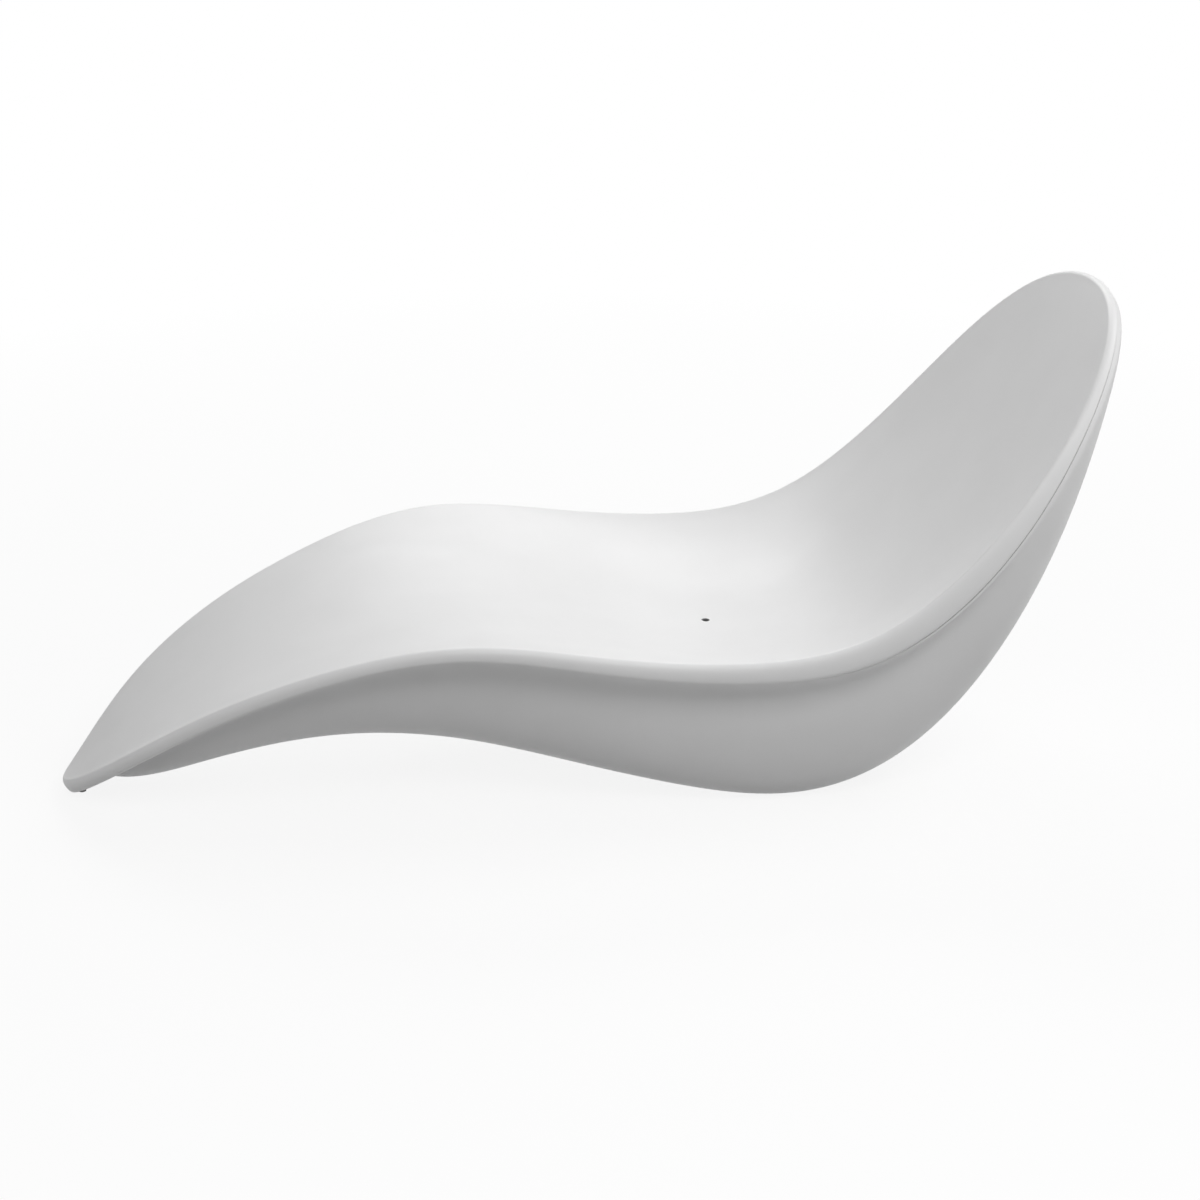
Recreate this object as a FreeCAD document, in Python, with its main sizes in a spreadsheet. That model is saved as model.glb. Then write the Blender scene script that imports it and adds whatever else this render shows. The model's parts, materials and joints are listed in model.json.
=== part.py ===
# Spa relaxation lounger: a moulded seat shell with a rolled rim, bonded to a moulded hull.
# The foot points to -X and the head to +X, Y runs across, and the floor is z = 0.
import FreeCAD, Part
import Sketcher
import math
import os
import re

doc = FreeCAD.newDocument("Lounger")

# Driving sizes in millimetres
SIZES = (
    ("crest_length", 1848, "rim crest, foot tip to head, seen from above"),
    ("foot_share", 0.503626, "middle of the lounger, from the foot tip, as a share of the crest length"),
    ("crest_half_width", 364, "middle plane to the rim crest at its widest"),
    ("crest_rise", 863, "underside of the hull to the crest at the head"),
    ("floor_gap", 1.5, "floor to the underside of the hull"),
    ("drain_share", 0.6287, "drain, from the foot tip, as a share of the crest length"),
    ("dish_depth", 72, "crest to the seat face at the drain"),
    ("seat_wall", 8, "thickness of the seat shell"),
    ("drain_radius", 5.5, "drain hole in the seat"),
    ("lip_height", 50, "scale of the rim face, crest to its lower edge"),
    ("lip_bulge", 10.5, "crest to the outermost line of the rim"),
    ("rim_land", 8, "rim underside that reaches inside the hull wall"),
    ("hull_inset", 90, "scale of the step from the rim face in to the hull"),
    ("hull_wall", 6, "thickness of the hull shell"),
    ("hull_lead", 6, "straight run of the hull wall below the joint"),
    ("neck_depth", 45, "how far the hull is drawn in below the joint"),
    ("neck_fall", 12, "height over which the hull is drawn in"),
    ("joint_gap", 1.5, "rim underside to the top edge of the hull"),
    ("bead_clearance", 0.2, "bead to the faces above and below it"),
    ("bead_recess", 0.5, "bead behind the face of the hull"),
    ("bond_gap", 0.4, "glue line between the frame and the shells"),
    ("former_thickness", 12, "plate of the cross formers"),
    ("shin_former_share", 0.1133, "shin former, from the foot tip, as a share of the crest length"),
    ("calf_former_share", 0.2213, "calf former, from the foot tip, as a share of the crest length"),
    ("knee_former_share", 0.3292, "knee former, from the foot tip, as a share of the crest length"),
    ("thigh_former_share", 0.4371, "thigh former, from the foot tip, as a share of the crest length"),
    ("seat_former_share", 0.5451, "seat former, from the foot tip, as a share of the crest length"),
    ("hip_former_share", 0.6908, "hip former, from the foot tip, as a share of the crest length"),
    ("lumbar_former_share", 0.7906, "lumbar former, from the foot tip, as a share of the crest length"),
    ("back_former_share", 0.8689, "back former, from the foot tip, as a share of the crest length"),
    ("head_former_share", 0.939, "head former, from the foot tip, as a share of the crest length"),
    ("stringer_thickness", 12, "plate of the lengthwise stringers"),
    ("stringer_offset_share", 0.316, "middle plane to a stringer, as a share of the crest half width"),
    ("slot_clearance", 0.2, "play in the halving joints and round the base plate"),
    ("web_margin", 45, "least wood round a lightening hole"),
    ("plate_thickness", 12, "base plate"),
    ("plate_front_share", 0.646, "front of the base plate, from the foot tip, as a share of the crest length"),
    ("plate_length_share", 0.0944, "base plate, front to back, as a share of the crest length"),
    ("plate_width_share", 0.508, "base plate, as a share of the crest width"),
    ("pad_radius", 26, "rubber base pad"),
    ("pad_height", 12, "rubber base pad"),
    ("pad_taper", 2, "slope round the floor side of the pad"),
    ("pad_clearance", 0.4, "pad to its hole in the hull and the plate"),
    ("pad_front_share", 0.6649, "front pads, from the foot tip, as a share of the crest length"),
    ("pad_rear_share", 0.7151, "rear pads, from the foot tip, as a share of the crest length"),
    ("pad_front_offset_share", 0.412, "middle plane to the front pads, as a share of the crest half width"),
    ("pad_rear_offset_share", 0.22, "middle plane to the rear pads, as a share of the crest half width"),
    ("screw_radius", 3, "pad screw shank"),
    ("screw_length", 12, "pad screw shank"),
    ("screw_head_radius", 6.5, "pad screw head"),
    ("screw_head_height", 3.5, "pad screw head"),
    ("screw_head_depth", 2.5, "floor to the screw head"),
    ("screw_clearance", 0.3, "screw to the pad round it"),
    ("insert_radius", 5, "threaded insert, outside"),
    ("insert_length", 7, "threaded insert"),
    ("thread_clearance", 0.15, "thread play, as a plain gap"),
    ("glide_radius", 7, "rubber glide under the foot tip"),
    ("glide_height_share", 0.0348, "rubber glide, as a share of the crest rise"),
    ("glide_share", 0.0162, "rubber glide, from the foot tip, as a share of the crest length"),
    ("glide_clearance", 0.3, "glide to its pocket in the rim"),
    ("seat_boss_drop", 3, "flat boss under the seat at the drain"),
    ("boss_radius", 26, "boss round the drain, on the seat and on the hull"),
    ("gasket_height", 2, "drain gaskets"),
    ("spigot_flange_radius", 22, "drain spigot flange"),
    ("spigot_flange_height", 4, "drain spigot flange"),
    ("spigot_radius", 9, "drain tails that the pipe goes over"),
    ("spigot_bore", 6, "bore of the drain tails"),
    ("spigot_length", 30, "drain spigot tail"),
    ("pipe_wall", 2.5, "drain pipe wall"),
    ("pipe_clearance", 0.2, "pipe to the tails, and clip to the pipe"),
    ("clip_thickness", 1.6, "pipe clip band"),
    ("clip_width", 9, "pipe clip band"),
    ("clip_lug", 8, "pipe clip screw housing"),
    ("hull_boss_height", 17, "boss round the outlet in the hull"),
    ("hull_boss_lift", 5, "floor to the outlet boss"),
    ("outlet_flange_radius", 20, "outlet flange under the hull boss"),
    ("outlet_flange_height", 3, "outlet flange"),
    ("outlet_radius", 12, "threaded outlet body"),
    ("outlet_spare", 3, "thread that stands out of the nut"),
    ("outlet_tail", 24, "outlet tail above its thread"),
    ("outlet_clearance", 0.3, "outlet body to the hull boss"),
    ("nut_radius", 19, "outlet nut across its corners"),
    ("nut_height", 8, "outlet nut"),
    ("overrun", 5, "how far a cutting tool runs past what it cuts"),
)
sheet = doc.addObject("Spreadsheet::Sheet", "Sizes")


def fill_row(row, alias, value, note):
    sheet.set("A%d" % row, alias)
    sheet.set("B%d" % row, str(value))
    sheet.set("C%d" % row, note)
    sheet.setAlias("B%d" % row, alias)


for row, entry in enumerate(SIZES, 1):
    fill_row(row, *entry)
doc.recompute()


def size(formula):
    return float(sheet.evalExpression(formula))


# Thirteen stations from the foot tip to the head, evenly turned on a half circle, so that
# they crowd towards both ends. Each table holds one share for each station.
LAST = 12
RING = 2 * LAST
width_shares = (0, 0.168, 0.440, 0.642, 0.795, 0.928, 0.990, 0.998, 0.995, 0.955, 0.800, 0.465, 0)
rise_shares = (0.034, 0.065, 0.165, 0.283, 0.382, 0.438, 0.408, 0.380, 0.425, 0.598, 0.808, 0.955, 1)
dish_shares = (0.20, 0.25, 0.30, 0.36, 0.40, 0.50, 0.75, 1.00, 1.10, 1.05, 0.90, 0.70, 0.60)
lip_shares = (0.60, 0.53, 0.48, 0.49, 0.46, 0.50, 0.60, 0.73, 0.90, 0.77, 0.42, 0.28, 0.26)
inset_shares = (0.60, 0.50, 0.36, 0.30, 0.28, 0.26, 0.22, 0.18, 0.10, 0.05, 0.034, 0.034, 0.034)
neck_shares = (0, 0.10, 0.45, 0.70, 0.90, 1, 1, 1, 0.80, 0.25, 0.05, 0, 0)
neck_fall_shares = (0, 0.2, 0.5, 0.8, 1, 1, 1, 1, 1, 1, 1, 1, 1)
keel_shares = (0.027, 0.026, 0.046, 0.107, 0.153, 0.145, 0.079, 0.010, 0, 0, 0, 0, 0)
base_width_shares = (0, 0.09, 0.19, 0.25, 0.31, 0.40, 0.50, 0.56, 0.55, 0.40, 0.25, 0.12, 0)
base_reach_shares = (0.965, 0.965, 0.97, 0.98, 0.98, 0.98, 1, 1, 0.60, 0.44, 0.36, 0.325, 0.315)
swell_shares = (0, 0, 0, 0, 0, 0, 0, 0, 0, 0, 0.02, 0.03, 0.03)

# Rings of the seat face, from the drain out to the crest
seat_ring_shares = (0.004, 0.08, 0.18, 0.29, 0.40, 0.51, 0.62, 0.73, 0.83, 0.91, 0.96)
underside_ring_shares = seat_ring_shares[:-2]
dish_power_share = 2.4
# Section of the rolled rim: out from the crest in bulges, and down from it in lip heights
lip_section_shares = ((-0.30, 0.03), (0.34, -0.02), (0.68, 0.12), (0.88, 0.34), (1, 0.62), (0.98, 0.90), (0.80, 1))
# Rings of the hull: shares of a quarter turn down its side, then shares of its floor
rib_turn_shares = (0.22, 0.44, 0.64, 0.82, 1)
rib_lean_share = 0.22
floor_ring_shares = (0.90, 0.75, 0.55, 0.35, 0.18, 0.02)


def along(share):
    # formula for a place along the lounger
    return "crest_length * (%s - foot_share)" % share


DRAIN = along("drain_share")
GLIDE = along("glide_share")
foot_x = size(along("0"))
drain_x = size(DRAIN)
drain_foot = FreeCAD.Vector(drain_x, 0, 0)
length = size("crest_length")
half_width = size("crest_half_width")
rise = size("crest_rise")
floor_gap = size("floor_gap")
overrun = size("overrun")


def share_at(shares, x):
    # a smooth curve through the shares of the stations, read at a place along the lounger
    run = min(max((x - foot_x) / length, 0), 1)
    place = math.acos(1 - 2 * run) / math.pi * LAST
    left = min(int(place), LAST - 1)
    step = place - left
    mirrored = (shares[1],) + tuple(shares) + (shares[-2],)
    before, here, after, beyond = mirrored[left:left + 4]
    bend = 2 * before - 5 * here + 4 * after - beyond
    twist = 3 * here - before - 3 * after + beyond
    return (2 * here + (after - before) * step + bend * step ** 2 + twist * step ** 3) / 2


def crest_height(x):
    return floor_gap + rise * share_at(rise_shares, x)


def keel_height(x):
    return floor_gap + rise * share_at(keel_shares, x)


def down_at(x):
    # square to the side profile of the seat, away from the sitter
    middle = min(max(x, foot_x + overrun), foot_x + length - overrun)
    climb = crest_height(middle + overrun) - crest_height(middle - overrun)
    slope = math.atan2(climb, 2 * overrun)
    return FreeCAD.Vector(math.sin(slope), 0, -math.cos(slope))


def station(k):
    return k if k <= LAST else RING - k


def side(k):
    return 1 if k <= LAST else -1


def crest_point(k):
    run = (1 - math.cos(math.pi * station(k) / LAST)) / 2
    across = side(k) * half_width * width_shares[station(k)]
    return FreeCAD.Vector(foot_x + length * run, across, floor_gap + rise * rise_shares[station(k)])


def closed_poles(points):
    # poles of the closed cubic curve that passes through the points
    poles = list(points)
    for sweep in range(RING):
        poles = [(points[k] * 6 - poles[k - 1] - poles[(k + 1) % RING]) / 4 for k in range(RING)]
    return poles


def outward_directions():
    # square to the crest, along the seat face, away from the drain
    poles = closed_poles(crest)
    directions = []
    for k in range(RING):
        tangent = poles[(k + 1) % RING] - poles[k - 1]
        across = down[k].cross(tangent).normalize()
        directions.append(across if across.dot(crest[k] - drain_foot) > 0 else across * -1)
    return directions


crest = [crest_point(k) for k in range(RING)]
down = [down_at(point.x) for point in crest]
outward = outward_directions()


def rim_point(k, out, drop):
    return crest[k] + outward[k] * out + down[k] * drop


def lip_drop(k):
    return size("lip_height") * lip_shares[station(k)]


def hull_face(k):
    # outer face of the hull at the joint, measured out from the crest
    return size("lip_bulge") - size("hull_inset") * inset_shares[station(k)]


def joint_ring(depth, drop):
    # a ring behind the face of the hull and below the underside of the rim
    return [rim_point(k, hull_face(k) - depth, lip_drop(k) + drop) for k in range(RING)]


def drawn_ring(depth, drop, inward, fall, lift):
    # a joint ring that falls further, and is drawn in and lifted where the hull has its neck
    ring = []
    for k in range(RING):
        drawn = neck_shares[station(k)]
        fallen = drop + fall * neck_fall_shares[station(k)] - lift * drawn
        ring.append(rim_point(k, hull_face(k) - depth - inward * drawn, lip_drop(k) + fallen))
    return ring


def seat_level(x, share):
    dish = size("dish_depth") * share_at(dish_shares, x)
    return crest_height(x) - dish * (1 - share ** dish_power_share)


def seat_ring(share, depth):
    ring = []
    for point in crest:
        x = drain_x + share * (point.x - drain_x)
        ring.append(FreeCAD.Vector(x, share * point.y, seat_level(x, share)) + down_at(x) * depth)
    return ring


def corner_ring(clearance, depth):
    # where the underside of the seat meets the inner face of the thick rim
    ring = []
    for k in range(RING):
        out = hull_face(k) - size("hull_wall + rim_land") - clearance
        share = 1 + out / abs((crest[k] - drain_foot).dot(outward[k]))
        place = rim_point(k, out, 0)
        face = FreeCAD.Vector(place.x, place.y, seat_level(place.x, share))
        ring.append(face + down_at(place.x) * depth)
    return ring


def hull_rings(depth, start):
    # rings of the hull at a depth behind its outer face, from the joint to the outlet
    lead = size("joint_gap + hull_lead")
    rings = [joint_ring(depth, start), joint_ring(depth, (start + lead) / 2)]
    rings.append(drawn_ring(depth, lead, 0, 0, depth / 2))
    rings.append(drawn_ring(depth, lead, size("neck_depth"), size("neck_fall"), depth))
    top = rings[-1]
    base = []
    for k, edge in enumerate(joint_ring(0, lead)):
        x = drain_x + base_reach_shares[station(k)] * (edge.x - drain_x)
        place = FreeCAD.Vector(x, side(k) * half_width * base_width_shares[station(k)], 0)
        inward = (drain_foot - place).normalize() * depth
        base.append(place + inward + FreeCAD.Vector(0, 0, keel_height(x) + depth))
    for turn_share in rib_turn_shares:
        turn = turn_share * math.pi / 2
        fall = math.sin(turn)
        sweep = (1 - rib_lean_share) * (1 - math.cos(turn)) + rib_lean_share * fall
        ring = []
        for k in range(RING):
            inward_share = sweep - swell_shares[station(k)] * math.sin(2 * turn) * (1 - fall)
            span = base[k] - top[k]
            step = FreeCAD.Vector(span.x * inward_share, span.y * inward_share, span.z * fall)
            ring.append(top[k] + step)
        rings.append(ring)
    for share in floor_ring_shares:
        ring = []
        for point in base:
            x = drain_x + share * (point.x - drain_x)
            ring.append(FreeCAD.Vector(x, share * point.y, keel_height(x) + depth))
        rings.append(ring)
    return rings


def skin(rings):
    # one smooth face over many closed rings, or a ruled one between two
    poles = [closed_poles(ring) for ring in rings]
    degree = min(3, len(rings) - 1)
    inner_knots = len(rings) - degree - 1
    surface = Part.BSplineSurface()
    surface.buildFromPolesMultsKnots(
        poles, [degree + 1] + [1] * inner_knots + [degree + 1], [1] * (RING + 1),
        list(range(inner_knots + 2)), list(range(RING + 1)), False, True, degree, 3)
    return surface.toShape()


def solid_of(bands):
    # a closed solid of bands, each of which starts on the ring where the last one ends
    shell = Part.Shell([face for band in bands for face in skin(band).Faces])
    shell.sewShape()
    solid = Part.Solid(shell)
    if solid.Volume < 0:
        solid.reverse()
    return solid


def add_shape(label, shape):
    item = doc.addObject("Part::Feature", label)
    item.Shape = shape
    item.Placement = FreeCAD.Placement()
    return item


def upright(radius, low, high, x, y):
    return Part.makeCylinder(radius, high - low, FreeCAD.Vector(x, y, low))


fill_row(len(SIZES) + 1, "drain_top", seat_level(drain_x, 0), "worked out: floor to the seat at the drain")
doc.recompute()

PAD_SPOTS = tuple(
    (along(name + "_share"), sign + "crest_half_width * " + name + "_offset_share")
    for name in ("pad_front", "pad_rear") for sign in ("", "-"))


# Seat shell: the dished seat, the rolled rim with its flat underside, and the drain boss
def seat_shell_solid():
    wall = size("seat_wall")
    face = [seat_ring(share, 0) for share in seat_ring_shares]
    for out_share, drop_share in lip_section_shares:
        face.append([rim_point(k, size("lip_bulge") * out_share, lip_drop(k) * drop_share) for k in range(RING)])
    rim_edge = joint_ring(size("hull_wall + rim_land"), 0)
    corner = corner_ring(0, wall)
    underside = [corner] + [seat_ring(share, wall) for share in reversed(underside_ring_shares)]
    solid = solid_of([face, [face[-1], rim_edge], [rim_edge, corner], underside, [underside[-1], face[0]]])
    boss = upright(size("boss_radius"), size("drain_top - seat_wall - seat_boss_drop"),
                   size("drain_top - seat_wall / 2"), drain_x, 0)
    drain = upright(size("drain_radius"), 0, size("drain_top + overrun"), drain_x, 0)
    pocket = upright(size("glide_radius + glide_clearance"), -overrun,
                     size("crest_rise * glide_height_share + glide_clearance"), size(GLIDE), 0)
    return solid.fuse(boss).cut([drain, pocket])


# Hull shell: sides, back and floor in one, with the outlet boss and the pad holes
def pad_holes():
    return [upright(size("pad_radius + pad_clearance"), -overrun, size("pad_height + pad_clearance"),
                    size(place), size(across)) for place, across in PAD_SPOTS]


def hull_shell_solid():
    outer = hull_rings(0, size("joint_gap"))
    inner = hull_rings(size("hull_wall"), size("joint_gap"))
    solid = solid_of([outer, [outer[-1], inner[-1]], inner[::-1], [inner[0], outer[0]]])
    boss = upright(size("boss_radius"), size("hull_boss_lift"), size("hull_boss_lift + hull_boss_height"),
                   drain_x, 0)
    bore = upright(size("outlet_radius + outlet_clearance"), 0,
                   size("hull_boss_lift + hull_boss_height + overrun"), drain_x, 0)
    return solid.fuse(boss).cut([bore] + pad_holes())


# Sealant bead between the underside of the rim and the top edge of the hull
def joint_bead_solid():
    near = size("bead_recess")
    far = size("hull_wall")
    high = size("bead_clearance")
    low = size("joint_gap - bead_clearance")
    rings = [joint_ring(depth, drop) for depth, drop in ((near, high), (near, low), (far, low), (far, high))]
    return solid_of([[ring, rings[n - 1]] for n, ring in enumerate(rings)])


# The space between the shells that the frame fills
def frame_space_solid():
    gap = size("bond_gap")
    roof = [seat_ring(share, size("seat_wall") + gap) for share in underside_ring_shares]
    roof.append(corner_ring(gap, size("seat_wall") + gap))
    rim_foot = joint_ring(size("hull_wall + rim_land") + gap, gap)
    walls = hull_rings(size("hull_wall") + gap, gap)
    return solid_of([roof, [roof[-1], rim_foot], [rim_foot, walls[0]], walls, [walls[-1], roof[0]]])


frame_space = add_shape("frame_space", frame_space_solid())


def heights_at(x, y):
    # floor and roof of the frame space at one place
    line = Part.makeLine(FreeCAD.Vector(x, y, 0), FreeCAD.Vector(x, y, 2 * rise))
    box = frame_space.Shape.common(line).BoundBox
    return box.ZMin, box.ZMax


FORMERS = ("shin", "calf", "knee", "thigh", "seat", "hip", "lumbar", "back", "head")
FORMER_PLACES = {name: along(name + "_former_share") for name in FORMERS}
former_x = {name: size(FORMER_PLACES[name]) for name in FORMERS}
STRINGER_OFFSET = "crest_half_width * stringer_offset_share"
PLATE_FRONT = along("plate_front_share")
PLATE_HALF_WIDTH = "crest_half_width * plate_width_share"
PLATE_LOW = "floor_gap + hull_wall + bond_gap + slot_clearance"


def plate_room():
    # the base plate with its play, cut out of the formers and stringers that cross it
    play = size("slot_clearance")
    corner = FreeCAD.Vector(size(PLATE_FRONT) - play, -size(PLATE_HALF_WIDTH) - play, 0)
    return Part.makeBox(size("crest_length * plate_length_share") + 2 * play,
                        2 * (size(PLATE_HALF_WIDTH) + play), size(PLATE_LOW + " + plate_thickness") + play, corner)


def lightening_hole(axis, x, y, room, thickness):
    low, high = heights_at(x, y)
    radius = min(room, high - low) / 2 - size("web_margin")
    if radius < thickness:
        return []
    reach = thickness / 2 + overrun
    return [Part.makeCylinder(radius, 2 * reach, FreeCAD.Vector(x, y, (low + high) / 2) - axis * reach, axis)]


def former_cutouts(name):
    x = former_x[name]
    play = size("slot_clearance")
    thickness = size("former_thickness")
    half_slot = size("stringer_thickness") / 2 + play
    offset = size(STRINGER_OFFSET)
    edge = half_width * share_at(width_shares, x) - size("neck_depth") * share_at(neck_shares, x)
    edge -= size("web_margin")
    tools = [plate_room()]
    for y in (-offset, offset):
        low, high = heights_at(x, y)
        corner = FreeCAD.Vector(x - thickness, y - half_slot, 0)
        tools.append(Part.makeBox(2 * thickness, 2 * half_slot, (low + high) / 2 + play, corner))
    for y, room in ((-(offset + edge) / 2, edge - offset), (0, 2 * offset), ((offset + edge) / 2, edge - offset)):
        tools.extend(lightening_hole(FreeCAD.Vector(1, 0, 0), x, y, room, thickness))
    return Part.Compound(tools)


def stringer_cutouts(y):
    play = size("slot_clearance")
    thickness = size("stringer_thickness")
    half_slot = size("former_thickness") / 2 + play
    tools = [plate_room()]
    for x in former_x.values():
        low, high = heights_at(x, y)
        corner = FreeCAD.Vector(x - half_slot, y - thickness, (low + high) / 2)
        tools.append(Part.makeBox(2 * half_slot, 2 * thickness, high - low, corner))
    for front, rear in zip(FORMERS, FORMERS[1:]):
        room = former_x[rear] - former_x[front]
        x = (former_x[front] + former_x[rear]) / 2
        tools.extend(lightening_hole(FreeCAD.Vector(0, 1, 0), x, y, room, thickness))
    return Part.Compound(tools)


def bind(item, formulas):
    # bindings to the sheet, from formulas in plain size names
    for name, formula in formulas.items():
        item.setExpression(name, re.sub("[a-z_]+", r"Sizes.\g<0>", formula))


def primitive(kind, label, formulas):
    item = doc.addObject("Part::" + kind, label)
    bind(item, formulas)
    return item


def combined(kind, label, base, tool):
    item = doc.addObject("Part::" + kind, label)
    item.Base = base
    item.Tool = tool
    return item


def plate_in_frame(label, formulas, cutouts):
    # a plate cut to the frame space, less its slots and holes
    blank = primitive("Box", label + "_blank", formulas)
    fitted = combined("Common", label + "_fitted", blank, frame_space)
    return combined("Cut", label, fitted, add_shape(label + "_cutouts", cutouts))


def former(name):
    return plate_in_frame(name + "_former", {
        "Length": "former_thickness",
        "Width": "2 * crest_half_width",
        "Height": "2 * crest_rise",
        "Placement.Base.x": FORMER_PLACES[name] + " - former_thickness / 2",
        "Placement.Base.y": "-crest_half_width",
    }, former_cutouts(name))


def stringer(label, middle):
    return plate_in_frame(label, {
        "Length": "crest_length",
        "Width": "stringer_thickness",
        "Height": "2 * crest_rise",
        "Placement.Base.x": along("0"),
        "Placement.Base.y": middle + " - stringer_thickness / 2",
    }, stringer_cutouts(size(middle)))


def base_plate():
    insert_holes = [upright(size("insert_radius + thread_clearance"), 0, rise, size(place), size(across))
                    for place, across in PAD_SPOTS]
    return plate_in_frame("base_plate", {
        "Length": "crest_length * plate_length_share",
        "Width": "2 * " + PLATE_HALF_WIDTH,
        "Height": "plate_thickness",
        "Placement.Base.x": PLATE_FRONT,
        "Placement.Base.y": "-" + PLATE_HALF_WIDTH,
        "Placement.Base.z": PLATE_LOW,
    }, Part.Compound(pad_holes() + insert_holes))


def turned(label, profile, place):
    # a body turned round the Z axis, from corners that hold a radius and a height
    body = doc.addObject("PartDesign::Body", label)
    sketch = body.newObject("Sketcher::SketchObject", label + "_profile")
    planes = [item for item in body.Origin.OriginFeatures if item.Role == "XZ_Plane"]
    sketch.AttachmentSupport = [(planes[0], "")]
    sketch.MapMode = "FlatFace"
    corners = [FreeCAD.Vector(size(radius), size(height), 0) for radius, height in profile]
    for n, corner in enumerate(corners):
        sketch.addGeometry(Part.LineSegment(corners[n - 1], corner), False)
    for n, (radius, height) in enumerate(profile):
        sketch.addConstraint(Sketcher.Constraint("Coincident", n - 1 if n else len(profile) - 1, 2, n, 1))
    for n, (radius, height) in enumerate(profile):
        for kind, axis, formula, start in (("DistanceX", -2, radius, corners[n].x),
                                           ("DistanceY", -1, height, corners[n].y)):
            if formula == "0":
                sketch.addConstraint(Sketcher.Constraint("PointOnObject", n, 2, axis))
            else:
                at = sketch.addConstraint(Sketcher.Constraint(kind, -1, 1, n, 2, start))
                bind(sketch, {"Constraints[%d]" % at: formula})
    turning = body.newObject("PartDesign::Revolution", label + "_turning")
    turning.Profile = sketch
    turning.ReferenceAxis = (sketch, ["V_Axis"])
    turning.Angle = 360
    body.Tip = turning
    bind(body, dict(zip(("Placement.Base.x", "Placement.Base.y", "Placement.Base.z"), place)))
    return body


def tube(label, inside, outside, height, place):
    return turned(label, ((inside, "0"), (outside, "0"), (outside, height), (inside, height)), place)


def grouped(label, piece, places):
    # copies of one piece, kept as separate solids under one name
    copies = []
    for n, place in enumerate(places, 1):
        copy = doc.addObject("App::Link", "%s_%d" % (piece.Name, n))
        copy.LinkedObject = piece
        bind(copy, dict(zip(("Placement.Base.x", "Placement.Base.y", "Placement.Base.z"), place)))
        copies.append(copy)
    group = doc.addObject("Part::Compound", label)
    group.Links = copies
    return group


# Rubber pads, each held by a screw in a threaded insert in the base plate
pad = turned("base_pad", (
    ("screw_head_radius + screw_clearance", "0"),
    ("pad_radius - pad_taper", "0"),
    ("pad_radius", "pad_taper"),
    ("pad_radius", "pad_height"),
    ("screw_radius + screw_clearance", "pad_height"),
    ("screw_radius + screw_clearance", "screw_head_depth + screw_head_height"),
    ("screw_head_radius + screw_clearance", "screw_head_depth + screw_head_height"),
), ())
screw = turned("pad_screw", (
    ("0", "0"),
    ("screw_head_radius", "0"),
    ("screw_head_radius", "screw_head_height"),
    ("screw_radius", "screw_head_height"),
    ("screw_radius", "screw_head_height + screw_length"),
    ("0", "screw_head_height + screw_length"),
), ())
insert = tube("pad_insert", "screw_radius + thread_clearance", "insert_radius", "insert_length", ())

# Drain, from the seat down through the pipe to the outlet in the hull
GASKET_LOW = "drain_top - seat_wall - seat_boss_drop - gasket_height"
THREAD_TOP = "hull_boss_lift + hull_boss_height + gasket_height + nut_height + outlet_spare"
pipe_in = "spigot_radius + pipe_clearance"
clip_in = pipe_in + " + pipe_wall + pipe_clearance"
spigot = turned("drain_spigot", (
    ("spigot_bore", "0"),
    ("spigot_radius", "0"),
    ("spigot_radius", "spigot_length"),
    ("spigot_flange_radius", "spigot_length"),
    ("spigot_flange_radius", "spigot_length + spigot_flange_height"),
    ("spigot_bore", "spigot_length + spigot_flange_height"),
), (DRAIN, "0", GASKET_LOW + " - spigot_flange_height - spigot_length"))
outlet = turned("outlet_fitting", (
    ("spigot_bore", "hull_boss_lift - outlet_flange_height"),
    ("outlet_flange_radius", "hull_boss_lift - outlet_flange_height"),
    ("outlet_flange_radius", "hull_boss_lift"),
    ("outlet_radius", "hull_boss_lift"),
    ("outlet_radius", THREAD_TOP),
    ("spigot_radius", THREAD_TOP),
    ("spigot_radius", THREAD_TOP + " + outlet_tail"),
    ("spigot_bore", THREAD_TOP + " + outlet_tail"),
), (DRAIN, "0", "0"))
pipe_low = THREAD_TOP + " + pipe_clearance"
pipe_high = GASKET_LOW + " - spigot_flange_height - pipe_clearance"
clip_band = tube("clip_band", clip_in, clip_in + " + clip_thickness", "clip_width", ())
clip_housing = primitive("Box", "clip_housing", {
    "Length": "clip_lug",
    "Width": "clip_lug",
    "Height": "clip_width",
    "Placement.Base.x": clip_in + " + clip_thickness / 2",
    "Placement.Base.y": "-clip_lug / 2",
})
clip = combined("Fuse", "pipe_clip", clip_band, clip_housing)
nut_blank = primitive("Prism", "nut_blank", {
    "Circumradius": "nut_radius",
    "Height": "nut_height",
    "Placement.Base.x": DRAIN,
    "Placement.Base.z": "hull_boss_lift + hull_boss_height + gasket_height",
})
nut_bore = primitive("Cylinder", "nut_bore", {
    "Radius": "outlet_radius + thread_clearance",
    "Height": "2 * crest_rise",
    "Placement.Base.x": DRAIN,
})

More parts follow.
